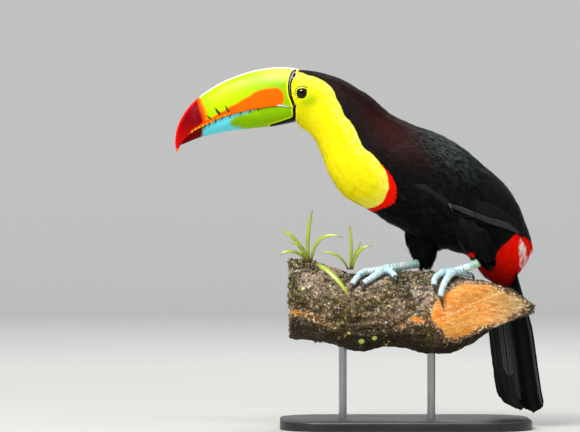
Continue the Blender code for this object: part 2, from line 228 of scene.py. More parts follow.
def outlineDistance(places, outline):
    # mm inside a closed outline rounded through its points, negative outside
    ring = curveAt(outline, np.linspace(0, len(outline), len(outline) * 5, endpoint=False), closed=True)
    inside = np.zeros(len(places), bool)
    for a, b in zip(ring, np.roll(ring, -1, axis=0)):
        rise = b[1] - a[1] if abs(b[1] - a[1]) > 1e-9 else 1e-9
        crosses = (a[1] > places[:, 1]) != (b[1] > places[:, 1])
        inside ^= crosses & (places[:, 0] < a[0] + (places[:, 1] - a[1]) / rise * (b[0] - a[0]))
    return pathDistance(places, np.concatenate([ring, ring[:1]])) * np.where(inside, 1, -1)


def softStep(value, low, high):
    t = np.clip((value - low) / (high - low), 0, 1)
    return t * t * (3 - 2 * t)


def unevenness(points, size, octaves=3):
    # fractal noise of about -1 to 1 with patterns of the given size in mm
    return np.array([noise.fractal(Vector(p), 1.0, 2.0, octaves) for p in points / size])


def keep(piece, slotName, *replaced):
    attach(piece, "root")
    if replaced:
        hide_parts(*replaced)
    return piece


# stage, lights and camera

stage = {
    "paper": "#bdbcb7", "paperFar": "#efeeea", "floorReach": 4.0, "bend": 1.4, "wallTop": 2.0, "spokes": 96,
    "middle": (-115, 0, 211.5), "distance": 3400, "width": 580,  # width of the view at the bird
    "aim": (0.0, 0.0, 0.25), "air": 0.55, "airColour": "#eef2f8",
    # place, width, depth, power, colour, and whether it lights matt surfaces and shows in glossy ones:
    # no grey disk in the eye from the fill, and a clear glint from a lamp that lights nothing else
    "lamps": {
        "key": ((-1.0, -1.3, 2.1), 0.7, 0.7, 38, "#fffaf2", True, True),
        "sky": ((-0.2, -0.9, 2.5), 2.2, 0.8, 36, "#f4f9ff", True, True),
        "fill": ((-1.5, -1.8, 0.5), 1.5, 1.5, 15, "#f3f7ff", True, False),
        "glint": ((-0.5, -0.9, 2.1), 1.2, 0.4, 120, "#ffffff", False, True),
        "back": ((0.4, 1.3, 2.0), 1.2, 1.2, 24, "#ffffff", True, True)},
}


def makeStage():
    # matt paper, a little uneven in tone and paler where less light comes; its edge curves up all round
    material, add, shader = newMaterial("paper_sweep", Roughness=0.95, Specular_IOR_Level=0.05)
    place = add("TexCoord", out="Object")
    cloud = add("TexNoise", {"Vector": place, "Scale": 2.0, "Detail": 2.0})
    away = add("VectorMath.LENGTH", [place], out="Value")
    away = add("Math.MULTIPLY_ADD", [cloud, 0.3, away])
    away = add("MapRange.SMOOTHSTEP", [away, 0.4, 3.6])
    feed(shader, Base_Color=layerColours(add, stage["paper"], (away, stage["paperFar"])))
    floor, bend, spokes = stage["floorReach"], stage["bend"], stage["spokes"]
    profile = [(0.1 * floor, 0.0), (0.5 * floor, 0.0), (floor, 0.0)]
    profile += [
        (floor + bend * math.sin(a), bend - bend * math.cos(a)) for a in np.linspace(0.1, math.pi / 2, 14)]
    profile.append((floor + bend, stage["wallTop"]))
    around = np.linspace(0, 2 * math.pi, spokes + 1)[:-1]
    vertices = [(reach * math.cos(a), reach * math.sin(a), z) for reach, z in profile for a in around]
    faces = [tuple(range(spokes))] + gridFaces(len(profile), spokes, closed=True)
    meshObject("paperSweep", vertices, faces, material)


def softLight(name, place, width, depth, power, colour, matt, gloss):
    # a disk if it is as deep as it is wide, else an oblong
    light = bpy.data.lights.new(name, "AREA")
    light.shape = "DISK" if width == depth else "RECTANGLE"
    light.size, light.size_y, light.energy = width, depth, power
    light.color = hexColour(colour)[:3]
    lamp = bpy.data.objects.new(name, light)
    scene.collection.objects.link(lamp)
    lamp.location = place
    lamp.rotation_euler = (Vector(stage["aim"]) - Vector(place)).to_track_quat("-Z", "Y").to_euler()
    lamp.visible_diffuse, lamp.visible_glossy = matt, gloss


def makeView():
    camera = bpy.data.cameras.new("camera")
    camera.sensor_width = 36
    camera.lens = 36 * stage["distance"] / stage["width"]
    holder = bpy.data.objects.new("camera", camera)
    scene.collection.objects.link(holder)
    holder.location = (Vector(stage["middle"]) - Vector((0, stage["distance"], 0))) * mm
    holder.rotation_euler = (math.pi / 2, 0, 0)
    scene.camera = holder
    for name, values in stage["lamps"].items():
        softLight(name, *values)
    world = bpy.data.worlds.new("studio")
    world.use_nodes = True
    air = world.node_tree.nodes["Background"]
    air.inputs[0].default_value = hexColour(stage["airColour"])
    air.inputs[1].default_value = stage["air"]
    scene.world = world
    scene.view_settings.view_transform = "Standard"


makeStage()
makeView()
print("stage set")

# the line through the body, from the bill to the tail, and places measured from it

body = {
    "line": [(-108, 332), (-90, 325), (-60, 301), (-27, 268), (27, 240), (80, 206), (108, 170), (118, 157)],
    "rumpSwing": 18.0,  # how far the rump stands to the bird's right
    "farOut": 120.0,  # where rays towards the body start
}
eye = {"centre": (-103.3, 16.1, 333.8), "radius": 6.3, "bulge": 0.05, "ringReach": 9.0}

bodyLine = curveAt(body["line"], np.linspace(0, len(body["line"]) - 1, 141))
lineSteps = np.linalg.norm(np.diff(bodyLine, axis=0), axis=1)
bodyLength = lineSteps.sum()
lineShare = np.concatenate([[0], np.cumsum(lineSteps)]) / bodyLength
lineTangent = np.gradient(bodyLine, axis=0)
lineTangent /= np.linalg.norm(lineTangent, axis=1)[:, None]


def bodyAt(share):
    # middle, tangent, back direction and left direction at a share of the length
    x, z = (np.interp(share, lineShare, bodyLine[:, k]) for k in (0, 1))
    tx, tz = (np.interp(share, lineShare, lineTangent[:, k]) for k in (0, 1))
    y = body["rumpSwing"] * np.maximum(0.0, (x + 40) / 160) ** 1.3
    zero = np.zeros_like(x)
    return (
        np.stack([x, y, z], -1), np.stack([tx, zero, tz], -1), np.stack([-tz, zero, tx], -1),
        np.stack([zero, zero - 1, zero], -1))


def bodyPlaces(points):
    # share of the length, and turn from the back in radians, positive to the left
    nearest = np.concatenate([
        ((block[:, None, :] - bodyLine[None]) ** 2).sum(-1).argmin(1)
        for block in np.array_split(points[:, [0, 2]], max(1, len(points) // 20000))])
    share = lineShare[nearest]
    middle, tangent, up, left = bodyAt(share)
    away = points - middle
    share = np.clip(share + (away * tangent).sum(1) / bodyLength, 0, 1)
    return share, np.arctan2((away * left).sum(1), (away * up).sum(1))


hullCopy = weldedCopy("hull", ["head", "neck", "trunk", "wing_left", "wing_right"])
hull = BVHTree.FromObject(hullCopy, bpy.context.evaluated_depsgraph_get())
bpy.data.objects.remove(hullCopy)


def onBody(share, turn, height=0.0):
    # a point on the body's outline and the way out of it, height mm above
    middle, _, up, left = bodyAt(share)
    outward = up * math.cos(turn) + left * math.sin(turn)
    hit, normal, _, _ = hull.ray_cast(Vector((middle + outward * body["farOut"]) * mm), Vector(-outward))
    if hit is None:
        return middle + outward * 10, outward
    return np.array(hit) / mm + np.array(normal) * height, np.array(normal)


# markings, as outlines in the side view: X and Z in mm

markings = {
    "bib": [
        (-103.5, 354.4), (-97.2, 351.5), (-91.9, 350.4), (-87.3, 348.7), (-83.4, 346.5), (-79.5, 344.3),
        (-76, 341.3), (-73, 337.4), (-70.8, 333.5), (-69.1, 328.3), (-66.5, 324), (-63.4, 317.4),
        (-60.4, 310.1), (-55, 305), (-50.4, 297), (-45, 285), (-41, 278), (-33.5, 273), (-26, 264),
        (-19.5, 254), (-17, 241.3), (-18.2, 236.2), (-22, 227.2), (-28.4, 222.1), (-39, 219.6),
        (-46, 218.5), (-75, 205), (-135, 250), (-132, 345), (-116, 357)],
    "breastBand": [
        (-25, 263), (-17.5, 254.5), (-12, 247), (-9.6, 237), (-10.4, 228), (-15.5, 222.6), (-25, 219),
        (-37, 215.6), (-62, 214), (-60, 240), (-32, 262)],
    "crissum": [
        (69.5, 160), (85, 164), (88.5, 171), (93, 179), (99.5, 185.5), (107, 192), (112, 195.5),
        (120, 190.5), (129, 183.5), (140, 178), (138, 150), (108, 128), (76, 146)],
    "rump": [
        (112.8, 189.5), (116, 190), (118.6, 182), (119.4, 171), (117.4, 163.5), (112.8, 161), (112.6, 172)],
    "redSpot": (66, 173.5, 3.6),
    # X, Z, length, width and slope in degrees
    "napeGlow": (-17, 299, 36, 18, -44), "napeBrown": (-64, 340, 26, 12, -35),
    "backSheen": (36, 284, 32, 15, -36), "greenThroat": (-103, 318, 8, 14, 0),
    # the same with X and Z from the eye's middle
    "greenCheek": (8, -7, 8.5, 5.5, 20),
}


def slantedPatch(places, centreX, centreZ, length, width, slope):
    slope = math.radians(slope)
    away = places - (centreX, centreZ)
    along = away @ (math.cos(slope), math.sin(slope))
    across = away @ (-math.sin(slope), math.cos(slope))
    return np.exp(-(along / length) ** 2 - (across / width) ** 2)


def markMesh(mesh, points, share, turn):
    # the attributes that carry the markings, on skin and feathers alike
    places = points[:, [0, 2]]
    setAttribute(mesh, "bib", outlineDistance(places, markings["bib"]))
    red = np.maximum(
        outlineDistance(places, markings["breastBand"]), outlineDistance(places, markings["crissum"]))
    spotX, spotZ, spotSize = markings["redSpot"]
    red = np.maximum(red, spotSize - np.hypot(places[:, 0] - spotX, places[:, 1] - spotZ))
    setAttribute(mesh, "red", red)
    setAttribute(mesh, "white", outlineDistance(places, markings["rump"]))
    brown = 0.35 * slantedPatch(places, *markings["napeBrown"])
    setAttribute(mesh, "maroon", slantedPatch(places, *markings["napeGlow"]) + brown)
    setAttribute(mesh, "backSheen", slantedPatch(places, *markings["backSheen"]))
    eyeX, _, eyeZ = eye["centre"]
    gap = np.hypot(places[:, 0] - eyeX, places[:, 1] - eyeZ)
    green = 0.4 * np.exp(-(gap / 10) ** 2)
    green += 0.95 * slantedPatch(places - (eyeX, eyeZ), *markings["greenCheek"])
    green += 0.3 * slantedPatch(places, *markings["greenThroat"])
    setAttribute(mesh, "green", np.clip(green, 0, 1))
    setAttribute(mesh, "place", np.stack([share, np.cos(turn), np.sin(turn)], -1), "FLOAT_VECTOR")


plumage = {
    "black": "#050505", "blackLight": "#141917", "blueSheen": "#5f6a67", "maroon": "#3c0e08",
    "yellow": "#fff200", "yellowDeep": "#ffe400", "yellowPale": "#fffb7c", "green": "#a4c200",
    "red": "#ff1400", "redDeep": "#cc0800", "redShade": "#640500", "white": "#fff4ec",
    "borderHighlight": "#fffda0", "borderNoise": 1.3,
}


def plumageMaterial(name, onFeathers):
    # barbs of feathers: dull and velvety, so that the black drinks light and the yellow glows
    material, add, shader = newMaterial(name, Specular_IOR_Level=0.045, Roughness=0.55)
    place = add("TexCoord", out="Object")
    fine = add("TexNoise", {"Vector": place, "Scale": 900.0, "Detail": 2.0})
    slow = add("TexNoise", {"Vector": place, "Scale": 55.0, "Detail": 3.0})
    tone = add("Attribute.tone", out="Fac") if onFeathers else fine
    ragged = add("Math.MULTIPLY_ADD", [tone, plumage["borderNoise"], -plumage["borderNoise"] / 2])
    if onFeathers:
        # every barb of a feather has a tone of its own
        vane = add("SeparateXYZ", [add("Attribute.vane", out="Vector")]).node.outputs
        tone = add("Math.MULTIPLY", [tone, 5.3])
        tone = add("Math.MULTIPLY_ADD", [vane[1], 2.9, tone])
        tone = add("Math.FRACT", [tone])
    ragged = add("Math.MULTIPLY_ADD", [fine, 0.8, ragged])
    marks = {
        label: add("Attribute." + label, out="Fac")
        for label in ("bib", "red", "white", "maroon", "backSheen", "green")}
    masks = {}
    for label, soft, much in (("bib", 0.4, 0.5), ("red", 0.6, 1.0), ("white", 0.7, 1.2)):
        value = add("Math.MULTIPLY_ADD", [ragged, much, marks[label]])
        masks[label] = add("MapRange.SMOOTHSTEP", [value, 0.4 * much - soft, 0.4 * much + soft])
    # barbs lie together in fine streaks that run down the body
    barbs = add(
        "Mapping",
        {"Vector": place, "Rotation": (0.0, 0.66, 0.0), "Scale": (6.0, 1.0, 1.0)},
        vector_type="TEXTURE")
    barbs = add("TexNoise", {"Vector": barbs, "Scale": 950.0, "Detail": 2.0})
    some = add("Math.MULTIPLY_ADD", [tone, 0.25, add("Math.MULTIPLY", [barbs, 0.8])])
    some = add("MapRange.SMOOTHSTEP", [some, 0.42, 0.72])
    glow = add("Math.MULTIPLY_ADD", [some, 0.6, 0.5])
    glow = add("Math.MULTIPLY", [glow, marks["maroon"]], use_clamp=True)
    streak = add("Math.MULTIPLY", [some, marks["backSheen"]], use_clamp=True)
    greenish = add("Math.MULTIPLY", [marks["green"], 0.8])
    pale = add("MapRange", [tone, 0.6, 1.0, 0.0, 0.16])
    # paler streaks where the yellow meets the black: a painted highlight along the bib's edge
    border = add("MapRange", [marks["bib"], 13.0, 2.0, 0.0, 0.75])
    border = add("Math.MULTIPLY", [border, add("MapRange", [barbs, 0.46, 0.62])])
    # painted shade: the red is darker low down on the crissum, under the body
    low = add("MapRange", [add("SeparateXYZ", [place], out=2), 0.170, 0.150, 0.0, 0.85])
    low = add("Math.MULTIPLY", [low, add("MapRange", [barbs, 0.42, 0.55, 0.3, 1.0])])
    black = layerColours(
        add, plumage["black"], (some, plumage["blackLight"]), (glow, plumage["maroon"]),
        (streak, plumage["blueSheen"]))
    red = layerColours(
        add, plumage["red"], ((tone, 0.35, 0.0, 0.0, 0.6), plumage["redDeep"]), (low, plumage["redShade"]))
    white = layerColours(add, plumage["red"], ((tone, 0.3, 0.5), plumage["white"]))
    yellow = layerColours(
        add, plumage["yellow"], ((slow, 0.45, 0.75, 0.0, 0.35), plumage["yellowDeep"]),
        (pale, plumage["yellowPale"]), (greenish, plumage["green"]), (border, plumage["borderHighlight"]))
    colour = layerColours(add, black, (masks["red"], red), (masks["white"], white), (masks["bib"], yellow))
    if onFeathers:
        # roots lie in the shade of the feather before
        shade = add("MapRange", [vane[0], 0.0, 0.5, 0.9, 1.0])
        colour = layerColours(add, colour, (1.0, shade, "MULTIPLY"))
    feed(shader, Base_Color=colour)
    return material


skinMaterial = plumageMaterial("downy_skin", False)
featherMaterial = plumageMaterial("contour_feathers", True)

# skin

skinForm = {"voxel": 1.45, "swell": 0.35, "depths": [
    (0.0, 0.8), (0.1, 0.9), (0.26, 1.9), (0.45, 3.0), (1.0, 3.0)]}


def makeSkin():
    made = weldedCopy(
        "skin",
        ["head", "neck", "trunk", "wing_left", "wing_right", "thigh_left", "thigh_right"],
        skinForm["swell"])
    remeshed(made, skinForm["voxel"], 6)
    points = meshPoints(made.data)
    share, turn = bodyPlaces(points)
    depth = np.interp(share, *np.array(skinForm["depths"]).T) + skinForm["swell"]
    points -= meshPoints(made.data, "normal") * depth[:, None]
    movePoints(made.data, points)
    dress(made, skinMaterial)
    markMesh(made.data, points, share, turn)
    return made, points, share, turn


skin, skinPoints, skinShare, skinTurn = makeSkin()
print("skin", len(skin.data.polygons), "faces")

# lie, size and place of the feathers, as fields over the skin

thighs = {
    "left": {"hip": (60, -13, 208), "ankle": (83, -24, 162), "reach": 24},
    "right": {"hip": (17.5, 24, 216), "ankle": (21, 10, 162), "reach": 25},
}
wingForm = {
    # share of the body's length, upper and lower edge in degrees from the back
    "edges": [
        (0.40, 80, 92), (0.44, 70, 104), (0.5, 60, 106), (0.6, 42, 100), (0.7, 20, 96), (0.8, 6, 92),
        (0.88, 2, 76), (0.95, 3, 42), (1.0, 3, 20)],
    # the part that long flight feathers cover, in the side view
    "flightZone": [
        (50, 205), (70, 201), (90, 195), (114, 186), (134, 178), (140, 192), (124, 222), (108, 240),
        (96, 246), (92, 232), (76, 226), (58, 222)],
}
nostril = {"place": (-110.8, 352.0), "length": 2.9, "width": 1.45, "lean": 68}


def layFields():
    middle, tangent, up, left = bodyAt(skinShare)
    normals = meshPoints(skin.data, "normal")
    places = skinPoints[:, [0, 2]]
    flow = tangent.copy()
    thighShare = np.zeros(len(skinPoints))
    for leg in thighs.values():
        hip, ankle = np.array(leg["hip"], float), np.array(leg["ankle"], float)
        line = ankle - hip
        t = np.clip(((skinPoints - hip) @ line) / (line @ line), 0, 1)
        gap = np.linalg.norm(skinPoints - hip - t[:, None] * line, axis=1)
        near = softStep(gap, leg["reach"], leg["reach"] * 0.7) * softStep(t, 0.15, 0.6)
        flow = flow * (1 - near)[:, None] + (line / np.linalg.norm(line)) * near[:, None]
        thighShare = np.maximum(thighShare, near)
    crissum = softStep(outlineDistance(places, markings["crissum"]), -3, 3)
    flow = flow * (1 - crissum)[:, None] + np.array([-0.32, 0.0, -0.95]) * crissum[:, None]
    flow -= (flow * normals).sum(1)[:, None] * normals
    flow /= np.maximum(np.linalg.norm(flow, axis=1), 1e-6)[:, None]
    setAttribute(skin.data, "flow", flow, "FLOAT_VECTOR")
    eyeX, _, eyeZ = eye["centre"]
    eyeGap = np.hypot(places[:, 0] - eyeX, places[:, 1] - eyeZ)
    noseGap = np.hypot(places[:, 0] - nostril["place"][0], places[:, 1] - nostril["place"][1])
    bare = np.maximum(softStep(eyeGap, eye["ringReach"], eye["ringReach"] - 1.2), softStep(noseGap, 4.0, 3.0))
    edges = np.array(wingForm["edges"])
    top, bottom = (np.radians(np.interp(skinShare, edges[:, 0], edges[:, k])) for k in (1, 2))
    aside = np.abs(skinTurn)
    onWing = (
        softStep(aside, top - 0.05, top + 0.08) * softStep(aside, bottom + 0.05, bottom - 0.05)
        * softStep(skinShare, 0.42, 0.47) * (1 - thighShare) * (1 - crissum))
    inFlight = softStep(
        outlineDistance(places, wingForm["flightZone"]), 3, 12) * softStep(skinShare, 0.5, 0.6)
    face = softStep(skinShare, 0.2, 0.155) * (1 - bare)
    bib = softStep(outlineDistance(places, markings["bib"]), -8, -5)
    front = softStep(skinShare, 0.145, 0.17) * softStep(skinShare, 0.72, 0.66)
    fields = {"onFace": face, "onBib": front * bib * (1 - onWing), "onCrissum": crissum, "onWing": onWing}
    fields["onNape"] = front * (1 - bib) * softStep(skinPoints[:, 2] - middle[:, 2] + 8, -6, 2) * (1 - onWing)
    fields["onThigh"] = thighShare * (1 - crissum) * softStep(thighShare, 0.3, 0.6)
    taken = np.clip(sum(fields.values()), 0, 1)
    # none between the wing tips, which would stand out under them
    fields["onBelly"] = (softStep(1 - taken, 0.2, 0.5) * softStep(skinShare, 0.3, 0.36) * (
        1 - softStep(skinShare, 0.72, 0.8) * softStep(aside, bottom + 0.25, bottom)))
    fields["onWing"] = onWing * (1 - inFlight)
    for name, values in fields.items():
        setAttribute(skin.data, name, values)
    setAttribute(skin.data, "size", np.interp(
        skinShare, [0.0, 0.06, 0.16, 0.3, 1.0], [0.6, 0.8, 0.95, 1.0, 1.0]))
    return list(fields) + ["size", "flow"]


skinFields = layFields()

# feather shapes: root at X = 0, tip at X = 1


def finishShape(name, vertices, faces, vane):
    shape = meshObject(name, vertices, faces, featherMaterial)
    setAttribute(shape.data, "vane", vane, "FLOAT_VECTOR")
    shape.hide_render = True
    return shape


def wispShape(name, blades, spread, width, droop, stations):
    # several narrow barbs from one root, as hair-like feathers look
    vertices, faces, vane = [], [], []
    for k in range(blades):
        aside = (k + 0.5) / blades * 2 - 1
        reach = 1.0 - 0.14 * abs(aside) - 0.08 * (k % 2)
        start = len(vertices)
        for along, thick in stations + [(1.0, 0.0)]:
            x = reach * along
            y = aside * width * (0.45 + 0.55 * along) + math.tan(math.radians(spread)) * aside * along ** 2
            z = 0.035 * (k % 2) + 0.09 * math.sin(math.pi * min(along * 0.8, 1)) - droop * along ** 2
            half = thick * width / blades * 1.1
            for side in (-half, half) if thick else (0.0,):
                vertices.append((x, y + side, z - 0.025 * abs(aside)))
                vane.append((along, aside, 0.0))
        faces += gridFaces(len(stations), 2, start)
        last = start + 2 * (len(stations) - 1)
        faces.append((last, last + 2, last + 1))
    return finishShape(name, vertices, faces, vane)


def coatTree(name):
    # Geometry Nodes: one small shape laid all over a surface, along its flow
    tree = bpy.data.node_groups.new(name, "GeometryNodeTree")
    add = partial(addNode, tree)
    face = tree.interface
    face.new_socket("Surface", in_out="INPUT", socket_type="NodeSocketGeometry")
    sockets = {
        "Shape": "Object", "Where": "String", "Spacing": "Float", "Crowding": "Float", "Length": "Float",
        "Width": "Float", "Lift": "Float", "Stray": "Float", "Rise": "Float", "Seed": "Int",
        "Material": "Material"}
    for label, kind in sockets.items():
        face.new_socket(label, in_out="INPUT", socket_type="NodeSocket" + kind)
    face.new_socket("Coat", in_out="OUTPUT", socket_type="NodeSocketGeometry")
    given = tree.nodes.new("NodeGroupInput").outputs
    named = {
        label: add("GeometryNodeInputNamedAttribute", {"Name": label}, data_type=kind)
        for label, kind in (
            ("flow", "FLOAT_VECTOR"), ("size", "FLOAT"), ("place", "FLOAT_VECTOR"), ("vane", "FLOAT_VECTOR"))}
    where = add("GeometryNodeInputNamedAttribute", {"Name": given["Where"]}, data_type="FLOAT")
    chance = {}
    for salt, (label, low, high) in enumerate((
        ("tone", 0, 1), ("pitch", -1.35, -0.65), ("yaw", -1, 1), ("roll", -0.7, 0.7), ("grow", 0.8, 1.2),
        ("rise", 0.2, 1.0))):
        seed = add("Math.ADD", [given["Seed"], salt * 10.0 + 1])
        chance[label] = add(
            "FunctionNodeRandomValue", {2: float(low), 3: float(high), 8: seed}, out=1, data_type="FLOAT")
    spread = add(
        "GeometryNodeDistributePointsOnFaces",
        {"Mesh": given["Surface"], "Distance Min": given["Spacing"], "Density Max": given["Crowding"],
         "Density Factor": where, "Seed": given["Seed"]},
        distribute_method="POISSON").node
    toned = add(
        "GeometryNodeStoreNamedAttribute",
        {"Geometry": spread.outputs["Points"], "Name": "tone", "Value": chance["tone"]},
        data_type="FLOAT", domain="POINT")
    lying = add(
        "FunctionNodeAxesToRotation", [spread.outputs["Normal"], named["flow"]], primary_axis="Z",
        secondary_axis="X")
    tilt = [
        add("Math.MULTIPLY", [given[how], chance[label]])
        for how, label in (("Stray", "roll"), ("Lift", "pitch"), ("Stray", "yaw"))]
    tilt = add("FunctionNodeEulerToRotation", [add("CombineXYZ", tilt)])
    turned = add("FunctionNodeRotateRotation", [lying, tilt], rotation_space="LOCAL")
    grow = add("Math.MULTIPLY", [named["size"], chance["grow"]])
    length, width = (add("Math.MULTIPLY", [given[label], grow]) for label in ("Length", "Width"))
    rise = add("Math.MULTIPLY", [given["Rise"], chance["rise"]])
    offset = add("VectorMath.SCALE", {0: spread.outputs["Normal"], "Scale": rise})
    placed = add("GeometryNodeSetPosition", {"Geometry": toned, "Offset": offset})
    shape = add("GeometryNodeObjectInfo", {"Object": given["Shape"]}, out="Geometry")
    many = add("GeometryNodeInstanceOnPoints", {
        "Points": placed, "Instance": shape, "Rotation": turned,
        "Scale": add("CombineXYZ", [length, width, length])})
    real = add("GeometryNodeRealizeInstances", {"Geometry": many})
    # markings end where they do on the skin, even halfway along a feather
    own = {
        label: add("GeometryNodeInputNamedAttribute", {"Name": label}, data_type="FLOAT")
        for label in ("bib", "red", "white")}
    own["lie"] = add("GeometryNodeInputNormal")
    for label, value in own.items():
        kind = "FLOAT_VECTOR" if label == "lie" else "FLOAT"
        value = add(
            "GeometryNodeSampleNearestSurface", {"Mesh": given["Surface"], "Value": value}, data_type=kind)
        real = add(
            "GeometryNodeStoreNamedAttribute", {"Geometry": real, "Name": label, "Value": value},
            data_type=kind, domain="POINT")
    # each feather bakes to a patch of 0.003 at its root's place on the skin unrolled round the body
    root = add("SeparateXYZ", [named["place"]]).node.outputs
    own = add("SeparateXYZ", [named["vane"]]).node.outputs
    around = add("Math.ARCTAN2", [root[2], root[1]])
    u = add("Math.MULTIPLY_ADD", [root[0], 0.96, 0.02])
    u = add("Math.MULTIPLY_ADD", [own[0], 0.003, u])
    v = add("Math.MULTIPLY_ADD", [around, 0.96 / (2 * math.pi), 0.5])
    v = add("Math.MULTIPLY_ADD", [own[1], 0.0015, v])
    mapped = add(
        "GeometryNodeStoreNamedAttribute",
        {"Geometry": real, "Name": "OFBake", "Value": add("CombineXYZ", [u, v])},
        data_type="FLOAT2", domain="CORNER")
    finished = add("GeometryNodeSetMaterial", {"Geometry": mapped, "Material": given["Material"]})
    add("NodeGroupOutput", {"Coat": finished})
    return tree


def growCoat(name, surface, material, slotName, spent, soft=0.7, **values):
    # values are the tree's named inputs, in mm where they are lengths
    host = bpy.data.objects.new(name, surface.data.copy())
    scene.collection.objects.link(host)
    made = host.modifiers.new("coat", "NODES")
    made.node_group = layCoat
    identifiers = {
        item.name: item.identifier for item in layCoat.interface.items_tree if item.in_out == "INPUT"}
    for key, value in {**values, "Material": material}.items():
        if key in ("Spacing", "Length", "Width", "Rise"):
            value = value * mm
        if key == "Crowding":
            value = value / mm ** 2  # shapes to the square millimetre
        made[identifiers[key]] = value
    applied(host)
    # shaded half by the body's own form, so that many feathers read as one soft coat
    lie = np.zeros(len(host.data.vertices) * 3)
    host.data.attributes["lie"].data.foreach_get("vector", lie)
    shading = meshPoints(host.data, "normal") * (1 - soft) + lie.reshape(-1, 3) * soft
    shading /= np.maximum(np.linalg.norm(shading, axis=1), 1e-6)[:, None]
    host.data.normals_split_custom_set_from_vertices(shading)
    for field in spent + ["lie"]:
        if host.data.attributes.get(field):
            host.data.attributes.remove(host.data.attributes[field])
    dress(host, material)
    print(name, sum(len(p.vertices) - 2 for p in host.data.polygons), "triangles")
    return keep(host, slotName)


layCoat = coatTree("coat of feathers")
hair = wispShape("hair", 3, 9, 0.30, 0.04, [(0.0, 0.9), (0.55, 0.9)])
wisp = wispShape("wisp", 4, 10, 0.34, 0.05, [(0.0, 0.8), (0.42, 1.0), (0.78, 0.6)])
plume = wispShape("plume", 6, 16, 0.42, 0.08, [(0.0, 0.8), (0.42, 1.0), (0.78, 0.6)])

coats = {
    "coatFace": dict(
        slotName="yellow_plumage", Shape=hair, Where="onFace", Spacing=0.62, Crowding=2.4, Length=3.6,
        Width=2.6, Lift=0.06, Stray=0.14, Rise=0.1, Seed=3),
    "coatBib": dict(
        slotName="yellow_plumage", Shape=wisp, Where="onBib", Spacing=0.8, Crowding=1.6, Length=6.6,
        Width=2.8, Lift=0.08, Stray=0.10, Rise=0.5, Seed=5),
    "coatNape": dict(
        slotName="black_plumage", Shape=wisp, Where="onNape", Spacing=0.9, Crowding=1.15, Length=9.0,
        Width=3.2, Lift=0.10, Stray=0.15, Rise=0.6, Seed=7),
    "coatBelly": dict(
        slotName="black_plumage", Shape=plume, Where="onBelly", Spacing=1.6, Crowding=0.42, Length=13.0,
        Width=6.0, Lift=0.12, Stray=0.2, Rise=1.0, Seed=9),
    "coatThigh": dict(
        slotName="black_plumage", Shape=plume, Where="onThigh", Spacing=1.3, Crowding=0.6, Length=10.0,
        Width=4.0, Lift=0.2, Stray=0.25, Rise=0.5, Seed=11),
    "coatCrissum": dict(
        slotName="black_plumage", Shape=plume, Where="onCrissum", Spacing=1.15, Crowding=0.8, Length=12.0,
        Width=4.0, Lift=0.13, Stray=0.16, Rise=0.8, Seed=13),
    "coatWing": dict(
        slotName="black_plumage", Shape=plume, Where="onWing", Spacing=1.5, Crowding=0.5, Length=13.0,
        Width=6.0, Lift=0.09, Stray=0.07, Rise=0.9, Seed=17),
}
for coatName, values in coats.items():
    growCoat(coatName, skin, featherMaterial, spent=skinFields, **values)
for shape in (hair, wisp, plume):
    bpy.data.objects.remove(shape)
keep(skin, "black_plumage", "head", "neck", "trunk", "wing_left", "wing_right", "thigh_left", "thigh_right")

# flight feathers of wings and tail, each a long vane laid along a path

flight = {
    "rows": 26, "columns": 9, "camber": 0.06, "shaftHeight": 0.22, "shaft": 0.55,
    "barb": 0.7,  # mm, coarser than real ones so that they show
    "vane": "#070709", "light": "#8a8f90", "edge": "#7b8082", "shaftColour": "#1c1d1e",
}


def flightMaterial():
    # long stiff vanes: barbs in fine oblique lines, a faint satin gloss and a horny shaft
    material, add, shader = newMaterial("flight_feathers", Specular_IOR_Level=0.07)
    vane = add("SeparateXYZ", [add("Attribute.vane", out="Vector")]).node.outputs
    aside = add("Math.ABSOLUTE", [vane[1]])
    barb = add("Math.MULTIPLY_ADD", [aside, -0.8, vane[0]])
    barb = add("Math.MULTIPLY", [barb, 2 * math.pi / flight["barb"]])
    barb = add("Math.SINE", [barb])
    place = add("TexCoord", out="Object")
    fine = add("TexNoise", {"Vector": place, "Scale": 350.0, "Detail": 3.0})
    # barbs lie together in streaks that follow the feather
    streak = add("Math.ADD", [aside, -0.12, add("Math.MULTIPLY", [vane[0], 0.05])])
    streak = add("CombineXYZ", [streak, vane[1], vane[2]])
    streak = add("TexNoise", {"Vector": streak, "Scale": 1.1, "Detail": 3.0})
    streak = add("Math.MULTIPLY_ADD", [barb, 0.05, streak])
    # pale feathers carry a painted sheen: lighter grey streaks and lighter grey edges
    pale = add("Attribute.pale", out="Fac")
    toEdge = add("Math.SUBTRACT", [vane[2], aside])
    edge = add("MapRange", [toEdge, 0.7, 0.1, 0.0, 0.4])
    edge = add("Math.MULTIPLY", [edge, pale], use_clamp=True)
    much = add("Math.MULTIPLY", [pale, 0.6])
    paintedSheen = add("Math.MULTIPLY", [add("MapRange", [streak, 0.34, 0.66]), much], use_clamp=True)
    shaft = add("MapRange", [aside, flight["shaft"], flight["shaft"] * 0.6])
    colour = layerColours(
        add, flight["vane"], (paintedSheen, flight["light"]), (edge, flight["edge"]),
        (shaft, flight["shaftColour"]))
    height = add("Bump", {"Height": barb, "Distance": 0.00006, "Strength": 0.5})
    feed(shader, Base_Color=colour, Normal=height, Roughness=add("MapRange", [fine, 0.3, 0.7, 0.4, 0.6]))
    return material


flightFeathers = flightMaterial()


def newSheaf():
    return {"vertices": [], "faces": [], "vane": [], "pale": [], "uv": [], "count": 0}


